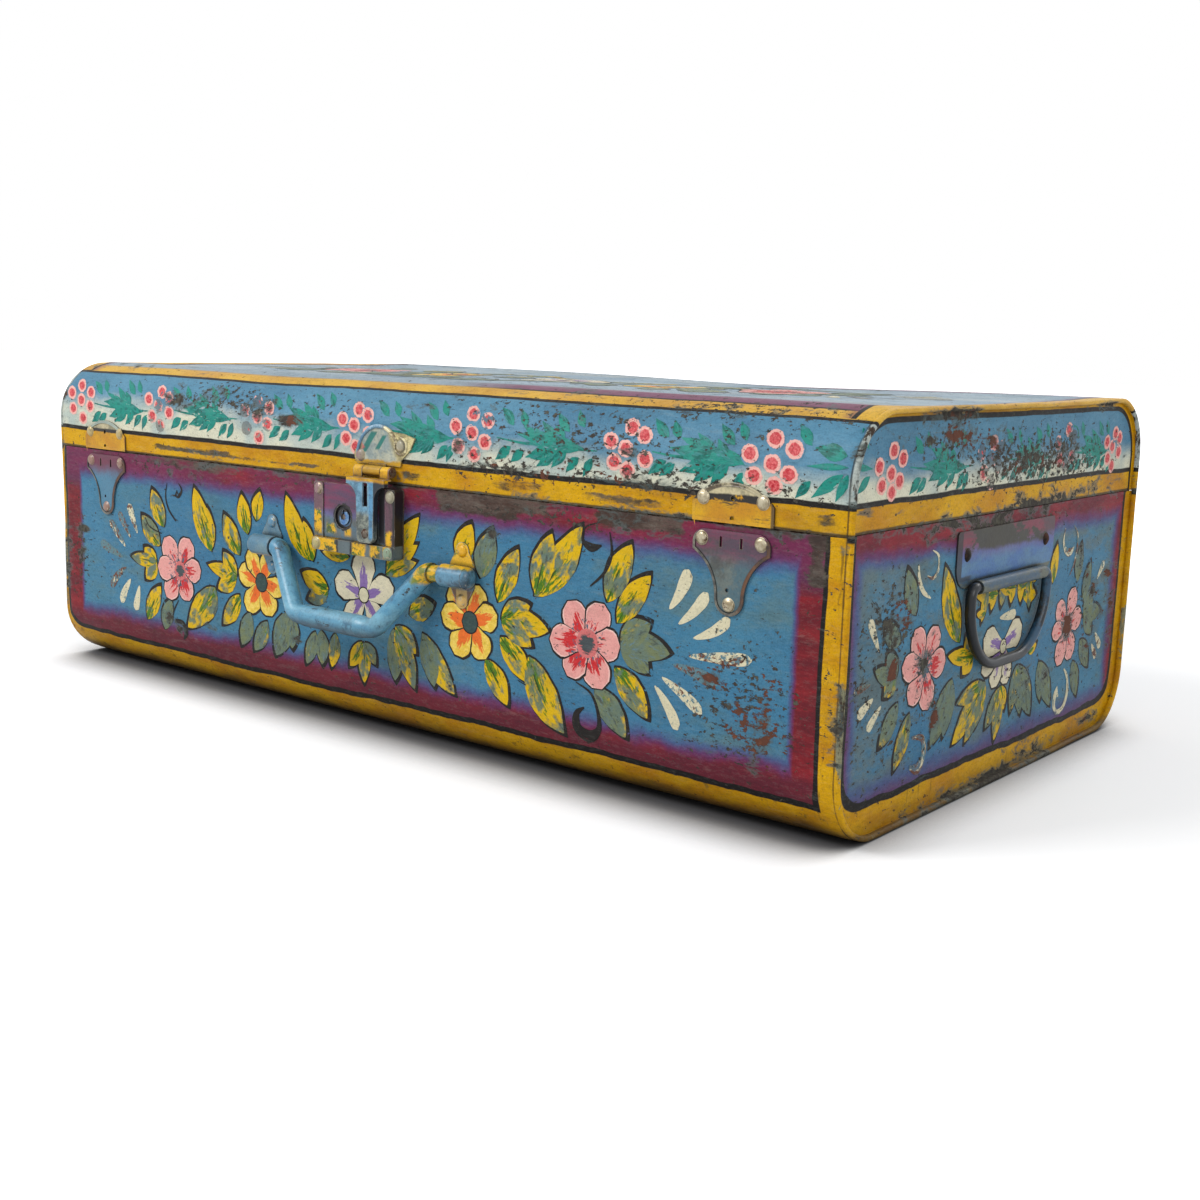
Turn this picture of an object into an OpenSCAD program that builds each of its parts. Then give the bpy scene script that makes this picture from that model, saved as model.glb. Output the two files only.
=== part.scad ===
// Painted sheet-metal trunk with a hinged lid, a box lock with a swing hasp,
// a bail handle on the front and a drop ring handle on each end.
// Millimetres. X runs along the length, Y from front to back, Z up.
// The origin is the middle of the flat bottom.

/* [Trunk] */
// Outside length, from the left end to the right end
trunk_l = 760; // [600:5:1000]
// Outside depth, from the front to the back
trunk_d = 432; // [340:2:560]
// Height of the body, from the floor to the joint
body_h = 180; // [170:1:260]
// Height of the lid above the joint
lid_h = 70; // [66:1:120]
// Outside radius of the bends along the four long edges
corner_r = 45; // [25:1:50]
// Thickness of the sheet
sheet_t = 1; // [0.8:0.05:1.3]

/* [Seams and mouth] */
// Width of the folded seam round each end
seam_w = 4.5; // [3.5:0.1:8]
// Clearance between the folded layers of a seam
seam_gap = 0.1; // [0.05:0.01:0.2]
// Gap between the body and the closed lid
joint_gap = 0.5; // [0.3:0.1:1]
// Height of the turned-in edge at the mouth of the lid
lid_hem_h = 8; // [5:0.5:10]
// How far the rim stands up inside the lid
rim_rise = 9; // [5:0.5:14]
// How far the rim reaches down inside the body
rim_grip = 18; // [12:0.5:24]
// Clearance between the rim and the turned-in edge of the lid
rim_clear = 0.5; // [0.3:0.1:1]

/* [Rivets] */
// Radius of a rivet's domed head
head_r = 4.4; // [3.5:0.1:4.6]
// Height of a rivet's domed head
head_h = 1.9; // [1.2:0.1:2.4]
// Radius of a rivet's shank
shank_r = 1.8; // [1.4:0.1:2]
// Radius of the closed end of a rivet, inside the sheet
clinch_r = 2.8; // [2.4:0.1:3.4]
// Height of the closed end of a rivet
clinch_h = 0.8; // [0.6:0.1:1.2]
// Radial clearance of a pin, a shank or a shaft in its hole
pin_fit = 0.06; // [0.02:0.01:0.1]

/* [Hinges] */
// Distance between the middles of the two hinges
hinge_span = 460; // [300:5:540]
// Width of a hinge
hinge_w = 64; // [50:1:90]
// Thickness of a hinge leaf
leaf_t = 1.6; // [1.2:0.1:2]
// Height of the leaf on the body, from the pin down
body_leaf_h = 38; // [34:0.5:46]
// Height of the leaf on the lid, from the pin up
lid_leaf_h = 23; // [20:0.5:26]
// Radius of a hinge knuckle
knuckle_r = 4; // [3.5:0.1:5]
// Radius of a hinge pin
hinge_pin_r = 2.2; // [1.8:0.1:2.5]
// Gap between one knuckle or leaf and the next
knuckle_gap = 0.4; // [0.3:0.1:0.8]

/* [Front hardware] */
// Middle of the lock, the bail handle and the catch plates
hardware_x = -5; // [-20:1:20]
// Thickness of the catch plates, brackets and hasp plate
plate_t = 1.2; // [1:0.1:1.6]

/* [Catch plates] */
// Distance between the left and the right catch plates
catch_span = 616; // [480:2:620]
// Drop of the lower plate's top edge below the joint
catch_drop = 3.5; // [2:0.5:6]
// Width of the lower plate at its top
catch_w = 53; // [48:1:60]
// Height of the lower plate
catch_h = 49; // [42:1:60]
// Radius of the lower plate's round foot
catch_foot_r = 10; // [8:0.5:12]
// Radius of the lower plate's hollow sides
catch_hollow_r = 30; // [24:1:40]
// Radius of the lower plate's top corners
catch_corner_r = 8; // [4:0.5:10]
// Width of the upper plate
arch_w = 55.5; // [50:0.5:62]
// Height of the upper plate
arch_h = 23.5; // [21:0.5:28]
// Radius of the upper plate's arched top
arch_r = 38; // [34:1:60]
// Distance of a catch plate's side rivets from its middle
catch_rivet_x = 20.3; // [17:0.1:21]

/* [Box lock] */
// Width of the lock case
lock_w = 82; // [80:1:90]
// Height of the lock case
lock_h = 48; // [46:1:56]
// Depth of the lock case, from the sheet to its face
lock_depth = 8; // [8:0.1:8.6]
// Wall of the lock case
lock_wall = 1.2; // [1:0.1:1.4]
// Drop of the lock case below the joint
lock_drop = 2.5; // [2:0.5:5]
// Width of the raised band at each side of the case
band_w = 9.5; // [8:0.5:11]
// Height of the raised bands and their clearance from the hasp
band_rise = 0.8; // [0.5:0.1:1]
// Height of the ledge along the foot of the case
ledge_h = 9; // [7:0.5:9.5]
// How far the ledge stands out from the face
ledge_rise = 3; // [2:0.5:3.5]
// Thickness of the lock's base plate
base_t = 1; // [0.8:0.1:1.2]
// Distance of the key plug from the middle of the case, to the left
plug_x = 11.6; // [10:0.2:13]
// Radius of the round opening over the key plug
keyway_r = 8.2; // [7.5:0.1:8.6]
// Radius of the key plug's hub
hub_r = 5.6; // [5:0.1:6]
// Radius of the post that the key plug turns on
post_r = 2; // [1.6:0.1:2.2]
// Travel of the lock bolt
bolt_throw = 8; // [7:0.1:8.2]
// Height of the lock bolt
bolt_h = 4.2; // [3.6:0.1:4.4]
// Clearance between the moving pieces of the lock
lock_clear = 0.3; // [0.2:0.05:0.35]

/* [Hasp] */
// Distance of the hasp from the middle of the lock, to the right
hasp_x = 16; // [14:0.5:17]
// Height of the hasp's pin above the joint
hasp_pin_z = 8.5; // [8:0.5:12]
// Radius of the hasp's knuckles
hasp_knuckle_r = 3.6; // [3.2:0.1:3.8]
// Radius of the hasp's pin
hasp_pin_r = 1.8; // [1.4:0.1:2]
// Width of the plate's knuckle in the middle
hasp_mid_w = 17; // [14:0.5:19]
// Width across all three knuckles
hasp_knuckles_w = 35; // [32:0.5:37]
// Width of the strap's shoulder
shoulder_w = 38; // [37:0.5:39]
// Width of the strap below its shoulder
strap_w = 18; // [16:0.5:19]
// Length of the strap, from the pin to its foot
strap_len = 49; // [46:0.25:49.5]
// Thickness of the strap
strap_t = 1.2; // [1:0.1:1.4]
// Depth of the strap's channel
strap_depth = 3.7; // [3:0.1:4.2]
// Width of the slot in the strap
slot_w = 4.6; // [4.2:0.1:5]
// Height of the slot in the strap
slot_h = 16; // [12:0.5:18]
// Thickness of the staple behind the strap
staple_w = 4; // [3.5:0.1:4.4]

/* [Bail handle] */
// Drop of the handle's pivot below the joint
bail_drop = 54.5; // [50:0.5:60]
// How far the handle has slid along its pivots
bail_slide = -4.5; // [-5:0.5:5]
// Angle of the handle's legs to the upright, in the handle's own plane
bail_leg_angle = 38.5; // [30:0.5:40]
// Distance of the grip from the pivots
bail_reach = 44.5; // [40:0.5:50]
// Radius of the handle's legs
bail_leg_r = 6.8; // [6:0.1:7.2]
// Radius of the handle's grip
bail_grip_r = 7.8; // [7:0.1:8.4]
// Radius of the handle's pivots
bail_pivot_r = 5.6; // [5:0.1:5.8]
// Lean of the handle away from the body, as it rests
bail_lean = 20; // [8:1:30]
// Distance of each bracket's middle from the middle of the handle
bracket_x = 97; // [97:0.5:104]
// Width of a bracket
bracket_w = 22; // [20:0.5:26]
// Radius of a bracket's barrel
barrel_r = 7.5; // [7.2:0.1:8.4]
// Distance of a bracket's rivets from the pivot
bracket_rivet_z = 16.5; // [15:0.5:20]
// Radius of a bracket's ears
ear_r = 5.8; // [5:0.1:7]

/* [End handles] */
// Middle of the end handles, behind the middle of the end
ring_y = -5; // [-40:1:40]
// Drop of the end handle's pivot below the joint
ring_drop = 44; // [36:1:60]
// Half of the distance between the ring's legs
ring_half_w = 58.5; // [50:0.5:70]
// Length of the ring from its pivot
ring_reach = 53; // [50:0.5:60]
// Radius of the ring's lower bends
ring_bend_r = 44; // [30:1:46]
// Radius of the ring's rod
ring_rod_r = 3.4; // [3:0.1:4]
// Width of the end handle's plate
ring_plate_w = 148; // [132:1:170]
// Height of the plate above the pivot
ring_plate_h = 36; // [30:0.5:36]
// Radius of the plate's lower corners
ring_plate_r = 14; // [8:0.5:16]
// Wall of the plate's rolled edge
roll_t = 1; // [0.8:0.1:1.2]

/* [Hidden] */
$fn = 64;

blue = [0.30, 0.52, 0.65];
pale_blue = [0.47, 0.65, 0.73];
yellow = [0.80, 0.61, 0.11];
steel = [0.62, 0.60, 0.56];
dark_steel = [0.34, 0.33, 0.31];
brass = [0.70, 0.58, 0.34];

trunk_h = body_h + lid_h;
lid_z = body_h + joint_gap;
// The two ends differ only by a mirror
sides = [-1, 1];
// Cutting solids run past the faces that they cut by this much
over = 1;

// Folded seam: wrap, flange of the end panel, turned-in layer of the wrap
seam_t = 3 * sheet_t + 2 * seam_gap;
panel_x = trunk_l / 2 - seam_w - seam_gap;
panel_in = panel_x - sheet_t;
flange_in = sheet_t + seam_gap;
rim_set = sheet_t + rim_clear;

// Hinges
hinge_z = body_h + joint_gap / 2;
hinge_out = knuckle_r + knuckle_gap;
knuckles = 5;
knuckle_pitch = hinge_w / knuckles;
leaf_edge = knuckle_r + knuckle_gap;
hinge_rivet_x = hinge_w / 2 - 11;
body_rivet_rows = [-13.5, -30];
lid_rivet_row = 14;
hinge_xs = [-hinge_span / 2, hinge_span / 2];

// Catch plates
catch_xs = [for (s = sides) hardware_x + s * catch_span / 2];
catch_top = body_h - catch_drop;
catch_side_rivet_z = -catch_drop - 2;
catch_foot_rivet_z = catch_foot_r - catch_h - 3.5;
catch_rivets = [
    [-catch_rivet_x, catch_side_rivet_z],
    [catch_rivet_x, catch_side_rivet_z],
    [0, catch_foot_rivet_z]
];
arch_bottom = lid_z + 0.4;
arch_rivets = [[-catch_rivet_x, 13.7], [catch_rivet_x, 13.7]];
toggle_slit = [1.6, 6];

// Lock: heights are above the foot of the case, depths above the sheet
lock_z = body_h - lock_drop - lock_h;
lock_rivet_x = lock_w / 2 - band_w / 2;
lock_rivet_low = 4.5;
lock_rivet_high = lock_h - 5;
lock_rivets_at = [
    for (s = sides) [s * lock_rivet_x, lock_rivet_low],
    for (s = sides) [s * lock_rivet_x, lock_rivet_high]
];
boss_r = shank_r + 1.6;
face_in = lock_depth - lock_wall;
plug_z = 25;
bolt_z = plug_z - 8.5;
flange_r = keyway_r + 1.1;
flange_out = face_in - lock_clear;
flange_back = flange_out - 1.1;
bolt_out = flange_back - lock_clear;
bolt_back = bolt_out - 2.2;
crank_r = bolt_throw / sqrt(2);
crank_pin_r = 1.1;
yoke_half = crank_pin_r + lock_clear;
bolt_tip = hasp_x - staple_w / 2 - 2;
bolt_tail = -plug_x - 20;
yoke_x = -plug_x - bolt_throw / 2;
yoke_w = 2 * yoke_half + 5;
yoke_top = plug_z - post_r - 0.6;
staple_clear = 0.6;
slot_half = staple_w / 2 + staple_clear;

// Hasp: heights are above its pin, depths above the sheet
pin_z = body_h + hasp_pin_z;
hasp_mid = hardware_x + hasp_x;
hasp_axis_out = hasp_knuckle_r + 0.5;
strap_back = lock_depth + band_rise + 0.5;
strap_out = strap_back + strap_depth;
shoulder_top = -hasp_knuckle_r - 0.9;
shoulder_low = -9.5;
shoulder_hollow_r = (shoulder_w - strap_w) / 2;
strap_foot_r = 4;
strap_foot_half = strap_w / 2 - 1;
slot_top = shoulder_top - strap_t - 2;
hasp_plate_low = hasp_knuckle_r + knuckle_gap;
plate_disc = [1, 9.5];
plate_disc_r = 22;
plate_lobe = [-17, 9.7];
plate_lobe_r = 6.4;
plate_ear = [[12, 27.5], [25, 26.5], [36, 24], [32, 16.5], [20, 5.5], [10, 5.5]];
hasp_rivets_at = [[-17, 9.7], [22.5, 18]];
staple_z = lock_z + bolt_z - pin_z;
staple_half_h = bolt_h / 2 + lock_clear + 2.1;
staple_in = bolt_back - lock_clear - 1;
spigot_r = 2;

// Bail handle
bail_z = body_h - bail_drop;
bail_mid = hardware_x + bail_slide;
bail_elbow_x = bracket_x - bracket_w / 2 - abs(bail_slide) - 5.5;
bail_end = bracket_x + bracket_w / 2 - 5 - abs(bail_slide);
elbow_r = 8.5;
elbow_set = elbow_r * tan(45 - bail_leg_angle / 2);
corner_x = bail_elbow_x - bail_reach * tan(bail_leg_angle);
grip_bend_r = 12;
grip_half = corner_x - grip_bend_r * tan(45 - bail_leg_angle / 2) - 0.5;
grip_taper = 6;
// Swells a rod by this much where two pieces of it join at an angle
weld = 0.1;

// End handles
ring_z = body_h - ring_drop;
roll_r = ring_rod_r + pin_fit + roll_t;
ring_out = roll_r + 0.3;
ring_corner_r = 6;
roll_half = ring_half_w - ring_corner_r - 2.5;
ring_rivet_x = ring_plate_w / 2 - 14;
ring_rivet_z = 21;
ring_rivets_at = [[-ring_rivet_x, ring_rivet_z], [ring_rivet_x, ring_rivet_z]];

// Places on the trunk. Each takes a drawing of x to the right, y up and z outward.
module on_front() {
    translate([0, -trunk_d / 2, 0])
        rotate([90, 0, 0])
            children();
}

module on_back() {
    translate([0, trunk_d / 2, 0])
        rotate([90, 0, 180])
            children();
}

module on_end(side) {
    mirror([side < 0 ? 1 : 0, 0, 0])
        translate([panel_x, ring_y, 0])
            rotate([90, 0, 90])
                children();
}

// Rounded rectangle of true arcs, its lower left corner at the origin
module rounded(w, h, r) {
    translate([r, 0])
        square([w - 2 * r, h]);
    translate([0, r])
        square([w, h - 2 * r]);
    for (x = [r, w - r], y = [r, h - r])
        translate([x, y])
            circle(r);
}

// The trunk's cross section, drawn in by inset on every side
module section(inset) {
    translate([inset - trunk_d / 2, inset])
        rounded(trunk_d - 2 * inset, trunk_h - 2 * inset, corner_r - inset);
}

// The part of a drawing between two heights
module between(low, high) {
    intersection() {
        children();
        translate([-trunk_d, low])
            square([2 * trunk_d, high - low]);
    }
}

// A layer of sheet that follows the cross section
module layer(inset, t, low, high) {
    between(low, high)
        difference() {
            section(inset);
            section(inset + t);
        }
}

// Extrudes a cross section along the length
module along(x0, x1) {
    translate([x0, 0, 0])
        rotate([90, 0, 90])
            linear_extrude(x1 - x0)
                children();
}

module rivet(grip) {
    dome_r = (head_r * head_r + head_h * head_h) / (2 * head_h);
    intersection() {
        translate([0, 0, head_h - dome_r])
            sphere(dome_r);
        cylinder(h = head_h, r = head_r);
    }
    translate([0, 0, -grip - clinch_h])
        cylinder(h = clinch_h, r = clinch_r);
    translate([0, 0, -grip])
        cylinder(h = grip, r = shank_r);
}

// Holes for rivets, through everything near the sheet
module rivet_holes(points) {
    for (p = points)
        translate([p[0], p[1], -5 * sheet_t])
            cylinder(h = 10 * sheet_t + lock_depth + ledge_rise, r = shank_r + pin_fit);
}

module rivet_circles(points) {
    for (p = points)
        translate(p)
            circle(shank_r + pin_fit);
}

// The sheet is double where the rim stands behind it
function backing(z) = z > body_h - rim_grip ? 2 * sheet_t : sheet_t;

module body_front_holes() {
    on_front() {
        for (x = catch_xs)
            translate([x, catch_top])
                rivet_holes(catch_rivets);
        translate([hardware_x, lock_z])
            rivet_holes(lock_rivets_at);
        for (s = sides)
            translate([hardware_x + s * bracket_x, bail_z])
                rivet_holes([[0, -bracket_rivet_z], [0, bracket_rivet_z]]);
    }
}

module body_back_holes() {
    on_back()
        for (x = hinge_xs, row = body_rivet_rows, s = sides)
            translate([x, hinge_z])
                rivet_holes([[s * hinge_rivet_x, row]]);
}

module lid_holes() {
    on_front() {
        for (x = catch_xs)
            translate([x, arch_bottom])
                rivet_holes(arch_rivets);
        translate([hasp_mid, pin_z])
            rivet_holes(hasp_rivets_at);
    }
    on_back()
        for (x = hinge_xs, s = sides)
            translate([x, hinge_z])
                rivet_holes([[s * hinge_rivet_x, lid_rivet_row]]);
}

// Front, bottom and back in one sheet, folded back on itself round each end
module wrap(low, high) {
    along(-trunk_l / 2, trunk_l / 2)
        layer(0, sheet_t, low, high);
    for (s = sides)
        mirror([s < 0 ? 1 : 0, 0, 0]) {
            along(trunk_l / 2 - sheet_t, trunk_l / 2)
                layer(0, seam_t, low, high);
            along(trunk_l / 2 - seam_w, trunk_l / 2)
                layer(seam_t - sheet_t, sheet_t, low, high);
        }
}

module body_wrap() {
    color(blue)
        difference() {
            wrap(0, body_h);
            body_front_holes();
            body_back_holes();
        }
}

module lid_wrap() {
    color(pale_blue)
        difference() {
            union() {
                wrap(lid_z, trunk_h);
                along(seam_gap - panel_in, panel_in - seam_gap)
                    layer(0, 2 * sheet_t, lid_z, lid_z + lid_hem_h);
            }
            lid_holes();
        }
}

// End panel: a shallow tray whose flange is held in the folded seam
module end_panel(low, high) {
    along(panel_in, panel_x)
        between(low, high)
            section(flange_in);
    along(panel_in, trunk_l / 2 - sheet_t - seam_gap)
        layer(flange_in, sheet_t, low, high);
}

module body_end(side) {
    color(blue)
        difference() {
            mirror([side < 0 ? 1 : 0, 0, 0])
                end_panel(0, body_h);
            on_end(side)
                translate([0, ring_z])
                    rivet_holes(ring_rivets_at);
        }
}

module lid_end(side) {
    color(pale_blue)
        mirror([side < 0 ? 1 : 0, 0, 0])
            end_panel(lid_z, trunk_h);
}

// A flat frame that fits inside the mouth, drawn in by inset
module mouth_frame(inset, t) {
    half_l = panel_in - inset;
    half_d = trunk_d / 2 - sheet_t - inset;
    difference() {
        square([2 * half_l, 2 * half_d], center = true);
        square([2 * (half_l - t), 2 * (half_d - t)], center = true);
    }
}

module body_rim() {
    color(yellow)
        difference() {
            union() {
                translate([0, 0, body_h - rim_grip])
                    linear_extrude(rim_grip)
                        mouth_frame(0, sheet_t);
                translate([0, 0, body_h - sheet_t])
                    linear_extrude(sheet_t)
                        mouth_frame(0, rim_set + sheet_t);
                translate([0, 0, body_h - sheet_t])
                    linear_extrude(rim_rise + sheet_t)
                        mouth_frame(rim_set, sheet_t);
            }
            body_front_holes();
            body_back_holes();
        }
}

// Butt hinge leaf, drawn with the pin along x at the origin's height
module hinge_leaf(dir, h, first, rows) {
    difference() {
        union() {
            linear_extrude(leaf_t)
                scale([1, dir])
                    translate([-hinge_w / 2, leaf_edge])
                        rounded(hinge_w, h - leaf_edge, 2);
            for (i = [first : 2 : knuckles - 1]) {
                x0 = -hinge_w / 2 + i * knuckle_pitch + (i > 0 ? knuckle_gap / 2 : 0);
                x1 = -hinge_w / 2 + (i + 1) * knuckle_pitch - (i < knuckles - 1 ? knuckle_gap / 2 : 0);
                translate([x0, 0, hinge_out])
                    rotate([0, 90, 0])
                        cylinder(h = x1 - x0, r = knuckle_r);
                translate([x0, dir > 0 ? 0 : -leaf_edge - 3, knuckle_gap])
                    cube([x1 - x0, leaf_edge + 3, leaf_t - knuckle_gap]);
            }
        }
        translate([-hinge_w / 2 - over, 0, hinge_out])
            rotate([0, 90, 0])
                cylinder(h = hinge_w + 2 * over, r = hinge_pin_r + pin_fit);
        for (row = rows, s = sides)
            rivet_holes([[s * hinge_rivet_x, row]]);
    }
}

module hinge_leaf_body(x) {
    color(steel)
        on_back()
            translate([x, hinge_z])
                hinge_leaf(-1, body_leaf_h, 0, body_rivet_rows);
}

module hinge_leaf_lid(x) {
    color(steel)
        on_back()
            translate([x, hinge_z])
                hinge_leaf(1, lid_leaf_h, 1, [lid_rivet_row]);
}

module headed_pin(len, r, cap_r, cap_h) {
    translate([-len / 2 - cap_h, 0, 0])
        rotate([0, 90, 0]) {
            cylinder(h = len + 2 * cap_h, r = r);
            cylinder(h = cap_h, r = cap_r);
            translate([0, 0, len + cap_h])
                cylinder(h = cap_h, r = cap_r);
        }
}

module hinge_pin(x) {
    color(dark_steel)
        on_back()
            translate([x, hinge_z, hinge_out])
                headed_pin(hinge_w, hinge_pin_r, knuckle_r - 0.8, 1.2);
}

module hinge_rivets_body() {
    color(steel)
        on_back()
            for (x = hinge_xs, row = body_rivet_rows, s = sides)
                translate([x + s * hinge_rivet_x, hinge_z + row, leaf_t])
                    rivet(leaf_t + backing(hinge_z + row));
}

module hinge_rivets_lid() {
    color(steel)
        on_back()
            for (x = hinge_xs, s = sides)
                translate([x + s * hinge_rivet_x, hinge_z + lid_rivet_row, leaf_t])
                    rivet(leaf_t + sheet_t);
}

// Lower catch plate: wide top, hollow sides and a round foot
module catch_lower_outline() {
    half = catch_w / 2;
    foot_z = catch_foot_r - catch_h;
    difference() {
        union() {
            for (s = sides)
                translate([s * (half - catch_corner_r), -catch_corner_r])
                    circle(catch_corner_r);
            translate([catch_corner_r - half, -catch_corner_r - over])
                square([catch_w - 2 * catch_corner_r, catch_corner_r + over]);
            translate([-half, foot_z])
                square([catch_w, -foot_z - catch_corner_r]);
        }
        for (s = sides)
            translate([s * (catch_foot_r + catch_hollow_r), foot_z])
                circle(catch_hollow_r, $fn = 128);
    }
    translate([0, foot_z])
        circle(catch_foot_r);
}

module catch_lower(x) {
    color(steel)
        on_front()
            translate([x, catch_top])
                linear_extrude(plate_t)
                    difference() {
                        catch_lower_outline();
                        rivet_circles(catch_rivets);
                        for (s = sides)
                            translate([7 * s, -6.5])
                                square(toggle_slit, center = true);
                        translate([-1.5, 15 - catch_h])
                            circle(1);
                    }
}

module catch_lower_rivets() {
    color(steel)
        on_front()
            for (x = catch_xs, p = catch_rivets)
                translate([x + p[0], catch_top + p[1], plate_t])
                    rivet(plate_t + backing(catch_top + p[1]));
}

// Upper catch plate: straight foot and arched top
module catch_upper(x) {
    color(yellow)
        on_front()
            translate([x, arch_bottom])
                linear_extrude(plate_t)
                    difference() {
                        intersection() {
                            translate([-arch_w / 2, 0])
                                square([arch_w, arch_h]);
                            translate([0, arch_h - arch_r])
                                circle(arch_r, $fn = 128);
                        }
                        rivet_circles(arch_rivets);
                        for (z = [2.7, 14.3])
                            translate([0, z])
                                circle(1.5);
                    }
}

module catch_upper_rivets() {
    color(steel)
        on_front()
            for (x = catch_xs, p = arch_rivets)
                translate([x + p[0], arch_bottom + p[1], plate_t])
                    rivet(plate_t + sheet_t);
}

// Places a drawing at the middle of the lock's foot
module on_lock() {
    on_front()
        translate([hardware_x, lock_z])
            children();
}

// A channel for the bolt, standing on the base plate
module bolt_guide(x0, x1) {
    rail = 1.7;
    gap = bolt_h / 2 + lock_clear;
    translate([x0, bolt_z - gap - rail, base_t])
        cube([x1 - x0, 2 * (gap + rail), bolt_back - lock_clear - base_t]);
    for (low = [bolt_z - gap - rail, bolt_z + gap])
        translate([x0, low, base_t])
            cube([x1 - x0, rail, bolt_out - base_t]);
}

module lock_base() {
    sweep_l = yoke_x - yoke_w / 2;
    sweep_r = yoke_x + yoke_w / 2 + bolt_throw;
    color(dark_steel)
        on_lock()
            difference() {
                union() {
                    translate([-lock_w / 2, 0])
                        linear_extrude(base_t)
                            rounded(lock_w, lock_h, 2);
                    translate([-plug_x, plug_z])
                        cylinder(h = lock_depth - 1, r = post_r);
                    bolt_guide(sweep_l - 4, sweep_l - lock_clear);
                    bolt_guide(sweep_r + lock_clear, bolt_tip - 1);
                    bolt_guide(hasp_x + slot_half + 0.4, hasp_x + slot_half + 5);
                }
                rivet_holes(lock_rivets_at);
            }
}

module lock_case() {
    color(blue)
        on_lock()
            difference() {
                union() {
                    translate([-lock_w / 2, 0, base_t])
                        linear_extrude(lock_depth - base_t)
                            rounded(lock_w, lock_h, 2);
                    for (s = sides)
                        translate([s * (lock_w - band_w) / 2 - band_w / 2, 0, base_t])
                            linear_extrude(lock_depth + band_rise - base_t)
                                rounded(band_w, lock_h, 2);
                    translate([-lock_w / 2, 0, lock_depth - lock_wall])
                        linear_extrude(ledge_rise + lock_wall)
                            rounded(lock_w, ledge_h, 2);
                }
                difference() {
                    translate([lock_wall - lock_w / 2, lock_wall, base_t - over])
                        cube([lock_w - 2 * lock_wall, lock_h - 2 * lock_wall, face_in - base_t + over]);
                    for (p = lock_rivets_at)
                        translate([p[0], p[1], 0])
                            cylinder(h = lock_depth, r = boss_r);
                }
                translate([-plug_x, plug_z, base_t])
                    cylinder(h = lock_depth, r = keyway_r);
                translate([hasp_x - slot_half, bolt_z - staple_half_h - 1.5, 0])
                    cube([2 * slot_half, lock_h, lock_depth + over]);
                rivet_holes(lock_rivets_at);
            }
}

module lock_rivets() {
    color(steel)
        on_lock()
            for (p = lock_rivets_at) {
                out = lock_depth + (p[1] < ledge_h ? ledge_rise : band_rise);
                translate([p[0], p[1], out])
                    rivet(out + backing(lock_z + p[1]));
            }
}

// Key plug: turns on the base's post and carries the crank pin behind its flange
module lock_plug() {
    color(blue)
        on_lock()
            translate([-plug_x, plug_z])
                difference() {
                    union() {
                        translate([0, 0, flange_back])
                            cylinder(h = flange_out - flange_back, r = flange_r);
                        translate([0, 0, flange_back])
                            cylinder(h = lock_depth - 0.4 - flange_back, r = hub_r);
                        rotate([0, 0, 45])
                            translate([-crank_r, 0, bolt_back + 0.2])
                                cylinder(h = flange_back - bolt_back, r = crank_pin_r);
                    }
                    translate([0, 0, base_t])
                        cylinder(h = lock_depth, r = post_r + pin_fit);
                    translate([-0.9, 0, flange_back - over])
                        cube([1.8, hub_r - 0.8, lock_depth]);
                }
}

// Lock bolt: a bar with an open yoke that the crank pin drives
module lock_bolt() {
    color(brass)
        on_lock()
            translate([0, 0, bolt_back])
                linear_extrude(bolt_out - bolt_back)
                    difference() {
                        union() {
                            translate([bolt_tail, bolt_z - bolt_h / 2])
                                square([bolt_tip - bolt_tail, bolt_h]);
                            translate([yoke_x - yoke_w / 2, bolt_z])
                                square([yoke_w, yoke_top - bolt_z]);
                        }
                        translate([yoke_x - yoke_half, plug_z - crank_r - yoke_half])
                            square([2 * yoke_half, crank_r]);
                    }
}

// Places a drawing at the hasp's pin
module on_hasp() {
    on_front()
        translate([hasp_mid, pin_z])
            children();
}

module hasp_knuckle(x0, x1) {
    translate([x0, 0, hasp_axis_out])
        rotate([0, 90, 0])
            cylinder(h = x1 - x0, r = hasp_knuckle_r);
}

module hasp_pin_hole() {
    translate([-shoulder_w, 0, hasp_axis_out])
        rotate([0, 90, 0])
            cylinder(h = 2 * shoulder_w, r = hasp_pin_r + pin_fit);
}

// Plate on the lid: an arched disc with a rivet lobe and a bent ear
module hasp_plate() {
    color(pale_blue)
        on_hasp()
            difference() {
                union() {
                    linear_extrude(plate_t)
                        difference() {
                            union() {
                                translate(plate_disc)
                                    circle(plate_disc_r);
                                translate(plate_lobe)
                                    circle(plate_lobe_r);
                                polygon(plate_ear);
                            }
                            translate([-trunk_d / 2, hasp_plate_low - trunk_d])
                                square(trunk_d);
                        }
                    hasp_knuckle(-hasp_mid_w / 2, hasp_mid_w / 2);
                    translate([-hasp_mid_w / 2, 0, 0])
                        cube([hasp_mid_w, hasp_plate_low + over, plate_t + 0.5]);
                }
                hasp_pin_hole();
                rivet_holes(hasp_rivets_at);
            }
}

module hasp_rivets() {
    color(steel)
        on_hasp()
            for (p = hasp_rivets_at)
                translate([p[0], p[1], plate_t])
                    rivet(plate_t + sheet_t + 0.15);
}

module hasp_pin() {
    color(dark_steel)
        on_hasp()
            translate([0, 0, hasp_axis_out])
                headed_pin(hasp_knuckles_w + knuckle_gap, hasp_pin_r, hasp_knuckle_r - 0.9, 0.8);
}

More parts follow.
